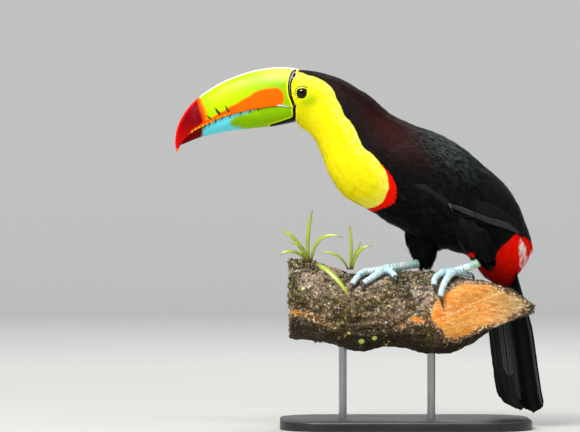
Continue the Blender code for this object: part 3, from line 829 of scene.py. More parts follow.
def addFeather(sheaf, spine, widths, settle, wear, pale, flip=False):
    # spine: rows of middle, across and normal; settle puts a point on what lies under it
    rows, columns = len(spine), flight["columns"]
    start, cell = len(sheaf["vertices"]), sheaf["count"]
    run, before = 0.0, spine[0][0]
    for r, (middle, across, normal) in enumerate(spine):
        run += np.linalg.norm(middle - before)
        before = middle
        for c in range(columns):
            aside = c / (columns - 1) * 2 - 1
            half = widths[r] * (1 + wear * rng.uniform(-1, 0.2) * (abs(aside) > 0.9))
            camber = -flight["camber"] * widths[r] * aside ** 2
            camber += flight["shaftHeight"] if c == columns // 2 else 0
            sheaf["vertices"].append(settle(middle + across * half * aside, aside, r) + normal * camber)
            sheaf["vane"].append((run, half * aside, widths[r]))
            sheaf["pale"].append(pale)
            sheaf["uv"].append((
                (cell % 8 + 0.08 + 0.84 * c / (columns - 1)) / 8,
                (cell // 8 + 0.04 + 0.92 * r / (rows - 1)) / 8))
    sheaf["faces"] += gridFaces(rows, columns, start, order=(3, 2, 1, 0) if flip else (0, 1, 2, 3))
    sheaf["count"] += 1


def sheafPiece(name, sheaf, *replaced):
    piece = meshObject(name, np.array(sheaf["vertices"]) * mm, sheaf["faces"], flightFeathers)
    setAttribute(piece.data, "vane", sheaf["vane"], "FLOAT_VECTOR")
    setAttribute(piece.data, "pale", sheaf["pale"])
    corners = np.zeros(len(piece.data.loops), int)
    piece.data.loops.foreach_get("vertex_index", corners)
    setAttribute(piece.data, "OFBake", np.array(sheaf["uv"])[corners], "FLOAT2", "CORNER")
    return keep(piece, "black_plumage", *replaced)


def featherWidths(half, tipRound, rootShare):
    shares = np.linspace(0, 1, flight["rows"])
    grown = softStep(shares, -0.02, rootShare) * 0.75 + 0.25
    left = np.clip((1 - shares) / tipRound, 0, 1)
    return half * grown * np.sqrt(np.clip(1 - (1 - left) ** 2, 0.004, 1))


# each wing feather: three points of its shaft in the side view, half-width, height above the wing, paleness
# (a painted sheen)
wingFeathers = [
    ((43.5, 221.5), (82, 207.5), (114.5, 195), 3.1, 0.5, 0.34),
    ((42.5, 224.5), (44, 220), (46, 215.8), 0.9, 0.6, 3.0),
    ((0, 247), (22, 237), (44, 222.5), 3.2, 0.2, 0.06)]
# each fan of dark ones: the first shaft, what each next one adds to it, half-width, paleness (a painted
# sheen) and numbers
wingFans = [
    (((44, 220.5), (83, 209.5), (115, 195.5)), ((2, 3.6), (2.5, 3.2), (1.5, 0.6)), 4.0, 0.03, range(1, 4)),
    (((58, 230), (97, 219.5), (128.2, 187.6)), ((-2, 6.5), (0.6, 5.6), (0.1, 1.2)), 7.6, 0.0, range(5))]
for first, step, half, pale, numbers in wingFans:
    for k in numbers:
        wingFeathers.append((*(np.array(first) + k * np.array(step)), half, -0.5 + 0.15 * k, pale))


def makeWing(name, side):
    sheaf = newSheaf()
    for root, middle, tip, half, height, pale in wingFeathers:
        path = []
        for x, z in (root, middle, tip):
            hit = (
                hull.ray_cast(Vector((x, -150, z)) * mm, Vector((0, 1, 0)))[0]
                or hull.find_nearest(Vector((x, -10, z)) * mm)[0])
            share, turn = bodyPlaces(np.array(hit)[None] / mm)
            path.append((share[0], turn[0]))
        path = curveAt(path, np.linspace(0, 2, flight["rows"]))
        # roots sink under the coverts, tips close on the rump
        shares = np.linspace(0, 1, flight["rows"])
        sink = 0.5 if pale > 0.3 else 2.4
        heights = height - sink * softStep(shares, 0.38, 0.05) - 0.5 * softStep(shares, 0.8, 1.0)
        spots = [onBody(share, turn * side, high) for (share, turn), high in zip(path, heights)]
        spine = []
        for r, (point, normal) in enumerate(spots):
            ahead = spots[min(r + 1, len(spots) - 1)][0] - spots[max(r - 1, 0)][0]
            across = np.cross(normal, ahead / max(np.linalg.norm(ahead), 1e-6)) * side
            spine.append((point, across, normal))

        def settle(point, aside, r):
            share, turn = bodyPlaces(point[None])
            found, normal = onBody(share[0], turn[0], heights[r] - 0.5 * aside)
            return found if np.linalg.norm(found - point) < 6 else point

        addFeather(sheaf, spine, featherWidths(half, 0.2, 0.12), settle, 0.03, pale, flip=side < 0)
    return sheafPiece(name, sheaf)


makeWing("flightFeathersLeft", 1)
makeWing("flightFeathersRight", -1)

tail = {
    # middle X Y Z, half-width and half-thickness, from the root down
    "rows": [
        (104, 17, 166, 11, 6), (105, 19, 148, 15, 5.5), (105.5, 21, 120, 22.5, 4.4),
        (107.6, 22.5, 98, 26.8, 3.6), (112, 24, 63, 29.4, 2.7), (115.6, 25, 36, 29.8, 2),
        (117.6, 25.5, 26, 28, 1.6), (119.4, 25.5, 19.4, 23, 1.2), (120.5, 25.5, 16.6, 15, 0.9)],
    "twist": 52, "skew": 0.07, "rootZ": 158, "widest": 29.8,
    # from the outermost feather in: offset from the middle, half-width, lowest Z, paleness (a painted sheen)
    "left": [
        (28.6, 1.0, 19, 1.2), (25.6, 5.3, 16.5, 0.0), (20.5, 8.5, 14.5, 0.06), (15, 12, 16, 0.0),
        (12, 12.5, 16.5, 0.0), (9, 13, 17, 0.05), (5, 13.5, 17, 0.05)],
    "right": [
        (-7.5, 6, 49, 0.8), (1.5, 7.5, 26, 0.5), (-13, 12, 16.5, 0.25), (-17, 11, 22, 0.12),
        (-6, 13.5, 15.5, 0.2)],
}


def makeTail():
    sheaf = newSheaf()
    twist = math.radians(tail["twist"])
    across = np.array([math.sin(twist), -math.cos(twist), 0])
    through = np.array([math.cos(twist), math.sin(twist), 0])
    rows = np.array(tail["rows"])
    for side in ("left", "right"):
        for rank, (offset, half, lowest, pale) in enumerate(tail[side], -2 if side == "left" else 0):
            spine = []
            for z in np.linspace(tail["rootZ"], lowest, flight["rows"]):
                x, y, wide, thick = (np.interp(-z, -rows[:, 2], rows[:, k]) for k in (0, 1, 3, 4))
                aside = offset * min(wide / tail["widest"] + 0.1, 1)
                level = thick * (0.3 * rank - 0.75) + (0.25 if side == "left" else 0) - 0.12 * abs(aside)
                middle = np.array([x, y, z - tail["skew"] * aside]) + across * aside + through * level
                spine.append((middle, across, -through))
            addFeather(sheaf, spine, featherWidths(half, 0.1, 0.4), lambda point, aside, r: point, 0.05, pale)
    return sheafPiece("tailFeathers", sheaf, "tail")


makeTail()
print("plumage laid")

# bill

bill = {
    # ridge X Z, edge X Z and half-width, from the base to the tip
    "upper": [
        (-108.1, 358.5, -109.7, 319.3, 17.6), (-124, 360.2, -128, 321, 17.3),
        (-146, 357.8, -146, 319, 16.3), (-164, 352.8, -164, 315.2, 15.2), (-182, 345.6, -182, 310, 13.8),
        (-200, 334.8, -197.5, 303, 12), (-213, 323.8, -209, 297.2, 9.8), (-222, 312, -216, 292, 7.4),
        (-227.6, 300, -221.5, 286.5, 5.2), (-229.8, 288, -225.2, 281.5, 3.2),
        (-229.2, 278.5, -227, 277, 1.3), (-228.6, 274.4, -228, 273.6, 0.4)],
    # edge X Z, keel X Z and half-width
    "lower": [
        (-109.8, 318.7, -110.3, 306, 17), (-128, 320.4, -132, 301.6, 16.2),
        (-146, 318.4, -152, 299.2, 14.8), (-164, 314.8, -172, 297.2, 13.2),
        (-182, 309.8, -190, 293.8, 11.2), (-197.2, 303, -203, 290.6, 9), (-208.6, 297.3, -212, 287.4, 6.8),
        (-215.8, 292.1, -218.6, 284.6, 4.4), (-221, 287, -222.4, 283.2, 2.2),
        (-223.4, 284.2, -224, 282.4, 0.8)],
    "bow": 6.0, "baseTop": 358.3, "baseHeight": 52.1, "bandHeight": 0.45, "ridgeHeight": 0.12,
    "nostrilDepth": 1.1,
    # the saw teeth of the upper edge, where they come in and end in X, and the dark ones of the lower edge
    "toothStep": 4.3, "toothDepth": 0.45, "toothSpan": (-216, -212, -178, -172), "lowerToothLength": 4.4,
    "lowerToothDepth": 0.35,
    "tooth": "#ffb400", "tipLow": "#c20200", "tipSheen": "#8a1a30", "tipEnd": "#ff9a18", "tick": "#34420a",
    "yellow": "#bcd400", "ground": "#a4d200", "lime": "#84b000", "limeFront": "#88cc00",
    "paleTop": "#dee85c", "ridge": "#fbfde6", "orange": "#ff6200", "orangeDeep": "#ff3c00",
    "tip": "#780002", "tipRim": "#ee0a00", "tipFringe": "#ff5200", "blue": "#68dcea", "green": "#80b600",
    "greenLight": "#a4cc00", "lowerTip": "#6e0008", "band": "#08070c", "bandHighlight": "#b9bce0",
    "dark": "#3a1005", "lowerDark": "#28402e", "gape": "#dfe4f4", "noseRim": "#c4c3d2", "nose": "#3a0d06",
    "bandEdge": "#e6f200", "chinEdge": "#c8ea00",
}
billMarks = {
    "orange": [
        (-121.6, 330), (-122.2, 325), (-125, 321.6), (-134, 319), (-142, 317), (-154, 315.5),
        (-165.6, 312.5), (-177, 309.5), (-187, 305), (-199, 299), (-207, 295.5), (-214.5, 292),
        (-213, 295.8), (-207, 300), (-199.5, 306), (-187.3, 312.8), (-177.2, 318.3), (-165.6, 324.8),
        (-154, 332), (-145.4, 336.4), (-133.8, 338.7), (-125.2, 337.6)],
    "tip": [
        (-208.5, 330), (-204.6, 319), (-201.5, 311.5), (-200.5, 303), (-204, 291), (-216, 281), (-228, 262),
        (-240, 270), (-238, 300), (-219, 330)],
    "band": [
        (-111.7, 319.5), (-114.1, 325.5), (-116.2, 331.2), (-117.4, 338.8), (-116.6, 346.3),
        (-114.6, 353.4), (-111.6, 357.2), (-109, 358.2), (-109.4, 354), (-111.3, 349.6), (-113.3, 344.4),
        (-113.9, 338.8), (-112.9, 331.2), (-110.6, 325.5), (-108.2, 319.5)],
    "chin": [
        (-111.9, 320.5), (-112.1, 312.3), (-113.2, 309.8), (-117, 308.3), (-125.8, 305.4), (-135, 302.2),
        (-132.5, 298), (-110, 300), (-104, 306), (-104, 320.5)],
    "blue": [
        (-204.5, 290.5), (-202.2, 297), (-199.5, 302), (-193, 307), (-183, 311), (-167, 316), (-149, 319.5),
        (-158, 314), (-168, 310.5), (-173.5, 306.5), (-173, 302.5), (-162, 299), (-150, 296.3), (-172, 294),
        (-190, 289)],
    "lowerTip": [(-203.8, 289), (-201.6, 297), (-203.5, 302), (-215, 296), (-230, 280), (-215, 280)],
    "gape": [(-112.5, 318.6), (-119, 320.8), (-127, 322), (-127.2, 320.6), (-120, 319.4), (-112.6, 317.4)],
    "sun": (-182, 330, 30, 14, 32),
    "lowerTeeth": [-199.4, -195, -188.7, -182.4, -174.5, -163.8, -154.2, -146.3],
    "ticks": [
        [(-191, 320.8), (-187.2, 317.6), (-183.4, 312.8), (-185.2, 311.6), (-188.4, 314.8)],
        [(-180, 322.4), (-177.2, 319.4), (-174.4, 315.4), (-176.2, 314.2), (-178.8, 317.4)],
        [(-199.4, 312.8), (-195.8, 311), (-193, 308.2), (-194.6, 307.2), (-197.6, 310)]],
}
# of each mask: the mark it is read from, low and high of its soft edge, and how far cloudy noise moves it
billEdges = {
    "orange": ("orange", 0.6, 3.2, 4.0), "fringe": ("tip", -3.6, 3.4, 8.0), "tip": ("tip", 2.4, 8.0, 9.0),
    "limeFront": ("tip", -13.0, 1.0, 2.0), "blue": ("blue", -0.6, 4.4, 3.0),
    "lowerTip": ("lowerTip", 0.6, 3.8, 4.0), "dark": ("dark", 0.1, 0.9, 0.0),
    "ridge": ("ridge", 0.2, 0.9, 0.0), "gape": ("gape", -0.6, 0.1, 0.0), "band": ("band", -0.25, 0.15, 0.0),
    "chin": ("chin", -0.25, 0.15, 0.0), "bandFront": ("band", -1.7, -0.9, 0.0),
    "chinFront": ("chin", -1.5, -0.7, 0.0), "tick": ("tick", -0.35, 0.35, 0.0),
    "crestHighlight": ("band", 1.25, 1.75, 0.0), "noseRim": ("nose", -0.5, -0.2, 0.0),
    "nose": ("nose", -0.2, 0.3, 0.0),
}


def baseBow(z):
    # how far the base bows forward at a height
    share = np.clip((bill["baseTop"] - z) / bill["baseHeight"], 0, 1)
    return -bill["bow"] * np.sin(np.pi * share ** 0.76) ** 2


def mandibleMesh(rows, half):
    # half is the section's one side, from the upper line's middle to the lower one: share down and share out
    last = len(rows) - 1
    # closer rows near the base and at the tip
    near, far = 0.9, last - 2.5
    places = np.concatenate([
        np.linspace(0, near, 26)[:-1], np.linspace(near, far, 84)[:-1], np.linspace(far, last, 28)])
    found = curveAt(rows, places)
    down, out = np.array(half).T
    ring = len(half) * 2 - 2
    rings = [(found[0], 6.0, 0.82, 0), (found[0], 3.2, 0.95, 0), (found[0], 1.4, 0.99, 0)]
    rings += [(row, 0.0, 1.0, place) for row, place in zip(found, places)]
    vertices = []
    for (topX, topZ, lowX, lowZ, wide), back, scale, place in rings:
        x, z = topX + (lowX - topX) * down, topZ + (lowZ - topZ) * down
        z = (topZ + lowZ) / 2 + (z - (topZ + lowZ) / 2) * scale
        x = x + back + baseBow(z) * max(0.0, 1 - place / 1.4) ** 1.5
        y = wide * out * scale
        vertices += list(zip(x, -y, z)) + list(zip(x[-2:0:-1], y[-2:0:-1], z[-2:0:-1]))
    faces = gridFaces(len(rings), ring, closed=True, order=(0, 3, 2, 1))
    for first in (0, (len(rings) - 1) * ring):
        vertices.append(np.mean(vertices[first:first + ring], axis=0))
        faces += [(first + c, first + (c + 1) % ring, len(vertices) - 1) for c in range(ring)]
    return np.array(vertices), faces


def billMaterial(name, upper):
    # horn of the bill: smooth and waxy, with growth lines so faint that only the gloss shows them
    material, add, shader = newMaterial(name, Specular_IOR_Level=0.05)
    place = add("TexCoord", out="Object")
    axes = add("SeparateXYZ", [place]).node.outputs
    cloud = add("TexNoise", {"Vector": place, "Scale": 70.0, "Detail": 3.0})
    lines = add("Mapping", {"Vector": place, "Scale": (0.25, 0.25, 1.0)})
    lines = add("TexNoise", {"Vector": lines, "Scale": 900.0, "Detail": 2.0})
    labels = "orange tip band gape dark ridge rim nose sun teeth tick" if upper else "blue lowerTip chin dark"
    mark = {label: add("Attribute." + label, out="Fac") for label in labels.split()}
    mask = {}
    for label, (source, low, high, wave) in billEdges.items():
        if source in mark:
            value = add("Math.MULTIPLY_ADD", [cloud, wave, mark[source]])
            mask[label] = add("MapRange.SMOOTHSTEP", [value, low, high])
    if upper:
        rear = add("MapRange.SMOOTHSTEP", [axes[0], -0.160, -0.118])
        high = add("MapRange.SMOOTHSTEP", [axes[2], 0.340, 0.358])
        deeper = add("MapRange", [axes[0], -0.165, -0.200])
        orange = layerColours(add, bill["orange"], (deeper, bill["orangeDeep"]))
        # lilac patches on the red tip are a painted sheen
        tip = layerColours(
            add, bill["tip"], ((axes[2], 0.306, 0.280), bill["tipLow"]),
            ((cloud, 0.55, 0.72, 0.0, 0.5), bill["tipSheen"]))
        lime = add("Math.MULTIPLY", [rear, 0.75])
        limeFront = add("Math.MULTIPLY", [mask["limeFront"], 0.75])
        paleTop = add("Math.MULTIPLY", [rear, high])
        tipRim = add("Math.MULTIPLY", [mark["rim"], mask["tip"]])
        # the band has a yellow edge, though not near the ridge, and a painted highlight along its crest
        bandFront = add("MapRange", [axes[2], 0.354, 0.349])
        bandFront = add("Math.MULTIPLY", [mask["bandFront"], bandFront])
        crestHighlight = add("Math.MULTIPLY", [mask["crestHighlight"], 0.5])
        colour = layerColours(
            add, bill["ground"], (mark["sun"], bill["yellow"]), (lime, bill["lime"]),
            (limeFront, bill["limeFront"]), (paleTop, bill["paleTop"]), (mask["ridge"], bill["ridge"]),
            (mask["fringe"], bill["tipFringe"]), (mask["tip"], tip), (tipRim, bill["tipRim"]),
            ((axes[2], 0.2800, 0.2755), bill["tipEnd"]), (mask["orange"], orange),
            (mark["teeth"], bill["tooth"]), (mask["tick"], bill["tick"]), (mask["dark"], bill["dark"]),
            (mask["gape"], bill["gape"]), (bandFront, bill["bandEdge"]), (mask["band"], bill["band"]),
            (crestHighlight, bill["bandHighlight"]), (mask["noseRim"], bill["noseRim"]), (mask["nose"], bill["nose"]))
    else:
        colour = layerColours(
            add, bill["green"], ((cloud, 0.4, 0.7, 0.0, 0.5), bill["greenLight"]),
            (mask["blue"], bill["blue"]), (mask["lowerTip"], bill["lowerTip"]),
            (mask["dark"], bill["lowerDark"]), (mask["chinFront"], bill["chinEdge"]),
            (mask["chin"], bill["band"]), ((axes[0], -0.1095, -0.1089), plumage["yellow"]))
    height = add("Bump", {"Height": lines, "Distance": 0.00005, "Strength": 0.35})
    feed(shader, Base_Color=colour, Normal=height, Roughness=add("MapRange", [cloud, 0.3, 0.7, 0.28, 0.42]))
    return material


def finishBill(name, part, half, mark):
    # mark gives the marks and how far the surface stands out, from the places and normals
    points, faces = mandibleMesh(bill[part], half)
    piece = meshObject(name, points * mm, faces, billMaterial(name + "_horn", part == "upper"), outward=True)
    normals = meshPoints(piece.data, "normal")
    marks, lift = mark(points, points[:, [0, 2]], normals)
    movePoints(piece.data, points + normals * lift[:, None])
    for label, values in marks.items():
        setAttribute(piece.data, label, values)
    return keep(piece, "bill_green" if part == "upper" else "bill_lower", "bill_" + part)


def markUpperBill(points, places, normals):
    marks = {label: outlineDistance(places, billMarks[label]) for label in ("orange", "tip", "band", "gape")}
    marks["sun"] = slantedPatch(places, *billMarks["sun"])
    lean = math.radians(nostril["lean"])
    away = places - np.array(nostril["place"])
    along = away @ (math.cos(lean), math.sin(lean)) / nostril["length"]
    across = away @ (-math.sin(lean), math.cos(lean)) / nostril["width"]
    marks["nose"] = (1 - np.hypot(along, across)) * nostril["width"]
    marks["tick"] = np.max([outlineDistance(places, outline) for outline in billMarks["ticks"]], axis=0)
    # saw teeth along the cutting edge
    gap = pathDistance(places, curveAt([row[2:4] for row in bill["upper"]], np.linspace(2.5, 8.5, 80)))
    phase = (places[:, 0] + places[:, 1] * 0.35) / bill["toothStep"] % 1
    saw = softStep(phase, 0.0, 0.75) * softStep(phase, 1.0, 0.9)
    front, full, fading, rear = bill["toothSpan"]
    inReach = softStep(places[:, 0], front, full) * softStep(places[:, 0], rear, fading)
    dark = softStep(gap, 2.4, 1.2) * inReach * softStep(phase, 0.80, 0.88)
    # the pale culmen ridge on the upward faces: the bill's own pale yellow edge, made whiter by a painted
    # highlight
    ridge = softStep(np.abs(points[:, 1]), 3.4, 1.6) * softStep(normals[:, 2], 0.25, 0.6)
    toRidge = pathDistance(places, curveAt([row[:2] for row in bill["upper"]], np.linspace(4.5, 11, 60)))
    marks.update(
        dark=dark, ridge=ridge, rim=softStep(toRidge, 3.8, 0.2) ** 1.5,
        teeth=softStep(gap, 2.2, 1.1) * inReach * saw)
    lift = bill["bandHeight"] * softStep(marks["band"], -0.1, 1.2) + bill["ridgeHeight"] * ridge
    lift -= bill["nostrilDepth"] * softStep(marks["nose"], -0.2, 0.9)
    lift -= bill["toothDepth"] * softStep(gap, 2.6, 0.6) * inReach * (1 - saw)
    return marks, lift


def markLowerBill(points, places, normals):
    marks = {label: outlineDistance(places, billMarks[label]) for label in ("blue", "lowerTip", "chin")}
    edgeLine = curveAt([row[:2] for row in bill["lower"]], np.linspace(0, 9, 120))
    dark = np.zeros(len(places))
    for x in billMarks["lowerTeeth"]:
        z = edgeLine[np.abs(edgeLine[:, 0] - x).argmin(), 1]
        deep = np.clip((z - places[:, 1]) / bill["lowerToothLength"], 0, 1)
        gap = np.abs(places[:, 0] - x + (z - places[:, 1]) * 0.25)
        dark = np.maximum(dark, softStep(gap, 1.25 * (1 - deep) + 0.25, 0.3 * (1 - deep)) * (deep < 1))
    marks["dark"] = dark
    return marks, bill["bandHeight"] * softStep(marks["chin"], -0.1, 1.2) - bill["lowerToothDepth"] * dark


turns = np.linspace(0, 1, 50)
upperHalf = [(q, (1 - (1 - q) ** 2.4) ** 0.68) for q in 1 - np.cos(turns * math.pi / 2)]
upperHalf += [(1.008, 0.965), (0.99, 0.9), (0.95, 0.6), (0.93, 0.3), (0.925, 0.0)]
lowerHalf = [(0.10, 0.0), (0.09, 0.4), (0.05, 0.75), (0.0, 0.93)]
lowerHalf += [(q, (1 - min(q, 1) ** 2.2) ** 0.55) for q in np.sin(turns * math.pi / 2)]
finishBill("upperBill", "upper", upperHalf, markUpperBill)
finishBill("lowerBill", "lower", lowerHalf, markLowerBill)
print("bill made")

# eyes, lids and the bare ring round them

eye.update({
    # the opening between the lids, from the eye's middle: X and Z
    "opening": [
        (-4.0, 3.5), (-2.6, 4.5), (0.0, 4.9), (2.8, 4.6), (4.4, 3.7), (4.9, 1.6), (4.2, -1.9), (2.6, -4.4),
        (0.0, -5.6), (-2.7, -4.3), (-4.4, -1.4), (-4.8, 1.4)],
    "grow": 1.04, "shift": (-0.1, -0.65),
    # share of the way from the opening to the feathers, and how proud the skin stands there
    "folds": [
        (-0.10, -0.6), (-0.03, 0.0), (0.0, 0.25), (0.06, 0.52), (0.16, 0.62), (0.28, 0.55), (0.38, 0.30),
        (0.44, 0.05), (0.49, -0.12), (0.54, 0.05), (0.62, 0.30), (0.74, 0.30), (0.84, 0.10), (0.88, 0.02),
        (0.94, 0.0), (1.06, -0.9)],
    "iris": "#0e0603", "irisLight": "#2c170a", "irisRim": "#050303", "pupil": "#010101", "skin": "#dcee0c",
    "skinGreen": "#b8d400", "shade": "#8fae00", "fold": "#141500"})


def eyeMaterial():
    # wet cornea over a nearly black brown iris
    material, add, shader = newMaterial("wet_eye", Roughness=0.02, Specular_IOR_Level=0.25)
    own = add("SeparateXYZ", [add("Attribute.iris", out="Vector")]).node.outputs
    rays = add("TexNoise", {
        "Vector": add("CombineXYZ", [own[1], own[2], own[0]]), "Scale": 9.0, "Detail": 3.0})
    colour = layerColours(
        add, eye["iris"], ((rays, 0.35, 0.75), eye["irisLight"]), ((own[0], 0.52, 0.46), eye["pupil"]),
        ((own[0], 0.86, 0.96), eye["irisRim"]))
    feed(shader, Base_Color=colour)
    return material


def lidMaterial():
    # bare skin, matt and finely wrinkled
    material, add, shader = newMaterial("eye_ring_skin", Roughness=0.5, Specular_IOR_Level=0.12)
    place = add("TexCoord", out="Object")
    fine = add("TexNoise", {"Vector": place, "Scale": 1400.0, "Detail": 2.0})
    mark = {label: add("Attribute." + label, out="Fac") for label in ("fold", "shade", "outer")}
    # the fold mark darkens the lids' rim and paints shade in the creases
    colour = layerColours(
        add, eye["skin"], ((fine, 0.4, 0.8, 0.0, 0.35), eye["skinGreen"]), (mark["shade"], eye["shade"]),
        (mark["outer"], plumage["yellow"]), (mark["fold"], eye["fold"]))
    feed(shader, Base_Color=colour, Normal=add(
        "Bump", {"Height": fine, "Distance": 0.0001, "Strength": 0.5}))
    return material


eyeGlass, lidSkin = eyeMaterial(), lidMaterial()


def makeEyeball(label, side):
    # side is -1 for the left eye, which is at negative Y; the cornea bulges a little
    centre = np.array(eye["centre"]) * (1, side, 1)
    rings, spokes = 26, 48
    vertices, iris = [centre + (0, side * eye["radius"] * (1 + eye["bulge"]), 0)], [(0, 0, 0)]
    for polar in math.pi * np.arange(1, rings) / rings:
        reach = eye["radius"] * (1 + eye["bulge"] * softStep(polar, 0.75, 0.3))
        for a in 2 * math.pi * np.arange(spokes) / spokes:
            away = np.array([
                math.sin(polar) * math.cos(a), side * math.cos(polar), math.sin(polar) * math.sin(a)])
            vertices.append(centre + away * reach)
            iris.append((min(polar / 0.92, 2), math.cos(a), math.sin(a)))
    vertices.append(centre - (0, side * eye["radius"], 0))
    iris.append((2, 0, 0))
    last = 1 + (rings - 2) * spokes
    faces = gridFaces(rings - 1, spokes, 1, closed=True)
    for s in range(spokes):
        t = (s + 1) % spokes
        faces += [(0, 1 + s, 1 + t), (len(vertices) - 1, last + t, last + s)]
    ball = meshObject("eyeball_" + label, np.array(vertices) * mm, faces, eyeGlass, outward=True)
    setAttribute(ball.data, "iris", iris, "FLOAT_VECTOR")
    keep(ball, "eye", "eye_" + label)
    return centre


def makeLids(label, side):
    centre = makeEyeball(label, side)
    count = 96
    opening = curveAt(eye["opening"], np.linspace(0, len(eye["opening"]), count, endpoint=False), closed=True)
    opening = opening * eye["grow"] + eye["shift"]
    vertices, fold, shade, outer = [], [], [], []

    def ballDepth(x, z, extra):
        return math.sqrt(max((eye["radius"] + extra) ** 2 - x * x - z * z, 0.2))

    for share, proud in eye["folds"]:
        for x, z in opening:
            a = math.atan2(z, x)
            reach = eye["ringReach"] + 0.5 * math.cos(a - 0.6)
            farX, farZ = reach * math.cos(a), reach * math.sin(a)
            px, pz = x + (farX - x) * share, z + (farZ - z) * share
            start = Vector((centre[0] + farX, side * 60, centre[2] + farZ)) * mm
            hit = skinSurface.ray_cast(start, Vector((0, -side, 0)))[0]
            outside = abs(hit.y) / mm - eye["centre"][1] if hit else 2.0
            inside = ballDepth(x, z, 0.15)
            depth = inside + (outside - inside) * softStep(share, 0.0, 1.05) + proud * 0.75
            if share >= 0:
                depth = max(depth, ballDepth(px, pz, 0.12))
            vertices.append((centre[0] + px, side * (eye["centre"][1] + depth), centre[2] + pz))
            # a dark rim to the lids, and painted shade in the creases: a deep arc above and before them and a
            # short crease below
            groove = math.exp(-((share + 0.01) / 0.09) ** 2)
            groove += math.exp(-((share - 0.49) / 0.13) ** 2) * (0.2 + 0.9 * softStep(
                math.cos(a - 2.0), -0.1, 0.4))
            groove += math.exp(-((share - 0.86) / 0.1) ** 2 - ((a + 1.9) / 0.35) ** 2) * 0.8
            fold.append(min(groove, 1))
            shade.append(0.55 * max(0, math.cos(a + 0.7)) * softStep(share, 0.15, 0.6))
            outer.append(softStep(share, 0.75, 1.0) * 0.8)
    faces = gridFaces(len(eye["folds"]), count, closed=True, order=(0, 3, 2, 1) if side < 0 else (1, 2, 3, 0))
    lids = meshObject("lids_" + label, np.array(vertices) * mm, faces, lidSkin)
    for name, values in (("fold", fold), ("shade", shade), ("outer", outer)):
        setAttribute(lids.data, name, values)
    keep(lids, "yellow_plumage")


skinSurface = BVHTree.FromObject(skin, bpy.context.evaluated_depsgraph_get())
makeLids("left", -1)
makeLids("right", 1)
print("eyes made")

# legs, toes and claws

feet = {
    "ball": {"left": (50.5, -16.4, 156.3), "right": (-20, -4.6, 158.2)},
    "heel": {"left": (73, -24, 165.8), "right": (13.5, 10, 164)},
    "voxel": 0.5, "clawVoxel": 0.22, "scute": 2.7, "relief": 0.42,
    "knuckles": (10.5, 18.5), "knuckleHeight": 0.28,  # reach from the ball of the foot, and height
    "pale": "#e4f2f1", "blue": "#a4d0da", "groove": "#22444f", "green": "#8fc07a", "claw": "#0b0a0b",
    "clawLight": "#2b2826",
}


def footMaterial():
    # horny scutes, pale and dry, with darker skin in the grooves
    material, add, shader = newMaterial("foot_scutes", Specular_IOR_Level=0.4)
    place = add("TexCoord", out="Object")
    cloud = add("TexNoise", {"Vector": place, "Scale": 220.0, "Detail": 3.0})
    cells = add("TexVoronoi", {"Vector": place, "Scale": 1100.0}, out="Distance")
    # the creases between scutes are fine dark lines, now deep and now faint
    run = add("Math.FRACT", [add("Attribute.run", out="Fac")])
    run = add("Math.ABSOLUTE", [add("Math.SUBTRACT", [run, 0.5])])
    deep = add("MapRange", [cloud, 0.40, 0.60, 0.2, 1.1])
    groove = add("Math.MULTIPLY", [add("MapRange", [run, 0.2, 0.05]), deep])
    groove = add("Math.MULTIPLY", [groove, add("Attribute.groove", out="Fac")], use_clamp=True)
    ankle = add("Attribute.ankle", out="Fac")
    colour = layerColours(
        add, feet["blue"], ((cloud, 0.4, 0.62), feet["pale"]), (ankle, feet["green"]),
        (groove, feet["groove"]))
    feed(
        shader, Base_Color=colour, Roughness=add("MapRange", [cloud, 0.3, 0.7, 0.35, 0.55]),
        Normal=add("Bump", {"Height": cells, "Distance": 0.00015, "Strength": 0.5}))
    return material


def clawMaterial():
    # black horn with a dull polish
    material, add, shader = newMaterial(
        "claw_horn", Specular_IOR_Level=0.5, Coat_Weight=0.2, Coat_Roughness=0.2)
    place = add("TexCoord", out="Object")
    grain = add("TexNoise", {"Vector": place, "Scale": 700.0, "Detail": 3.0})
    feed(
        shader,
        Base_Color=layerColours(add, feet["claw"], (grain, feet["clawLight"])),
        Roughness=add("MapRange", [grain, 0.3, 0.7, 0.22, 0.4]))
    return material


footSkin, clawHorn = footMaterial(), clawMaterial()


def makeFoot(label):
    leg = remeshed(weldedCopy("foot_" + label, ["leg_" + label]), feet["voxel"], 3)
    points = meshPoints(leg.data)
    normals = meshPoints(leg.data, "normal")
    ball, heel = (np.array(feet[part][label], float) for part in ("ball", "heel"))
    gap = np.linalg.norm(points - ball, axis=1) + 1.5 * unevenness(points, 5.0, 2)
    ring = np.exp(-((gap / feet["scute"] % 1 - 0.5) / 0.15) ** 2)
    upperSide = softStep(normals[:, 2] - 0.6 * normals[:, 1], -0.5, 0.2)
    creased = softStep(unevenness(points, 4.5, 1), -0.6, 0.3) * np.where(
        gap > 3.5, 0.35 + 0.65 * upperSide, 0.4)
    plates = ring * creased
    knuckle = sum(np.exp(-((gap - reach) / 1.6) ** 2) for reach in feet["knuckles"])
    lift = feet["relief"] * (1 - plates) - 0.1 + feet["knuckleHeight"] * knuckle * upperSide
    lift += 0.08 * unevenness(points, 1.6, 2)
    movePoints(leg.data, points + normals * lift[:, None])
    dress(leg, footSkin)
    setAttribute(leg.data, "groove", creased)
    setAttribute(leg.data, "run", gap / feet["scute"])
    setAttribute(leg.data, "ankle", 0.55 * softStep(np.linalg.norm(points - heel, axis=1), 13, 4))
    keep(leg, "foot_skin", "leg_" + label)
    names = ["claw_%s_%d" % (label, k) for k in (1, 2, 3, 4)]
    claws = remeshed(weldedCopy("claws_" + label, names), feet["clawVoxel"], 3)
    dress(claws, clawHorn)
    keep(claws, "claw", *names)
    return BVHTree.FromObject(leg, bpy.context.evaluated_depsgraph_get())


footSurfaces = [makeFoot("left"), makeFoot("right")]
print("feet made")

# the cut branch, its bark, bare wood and moss

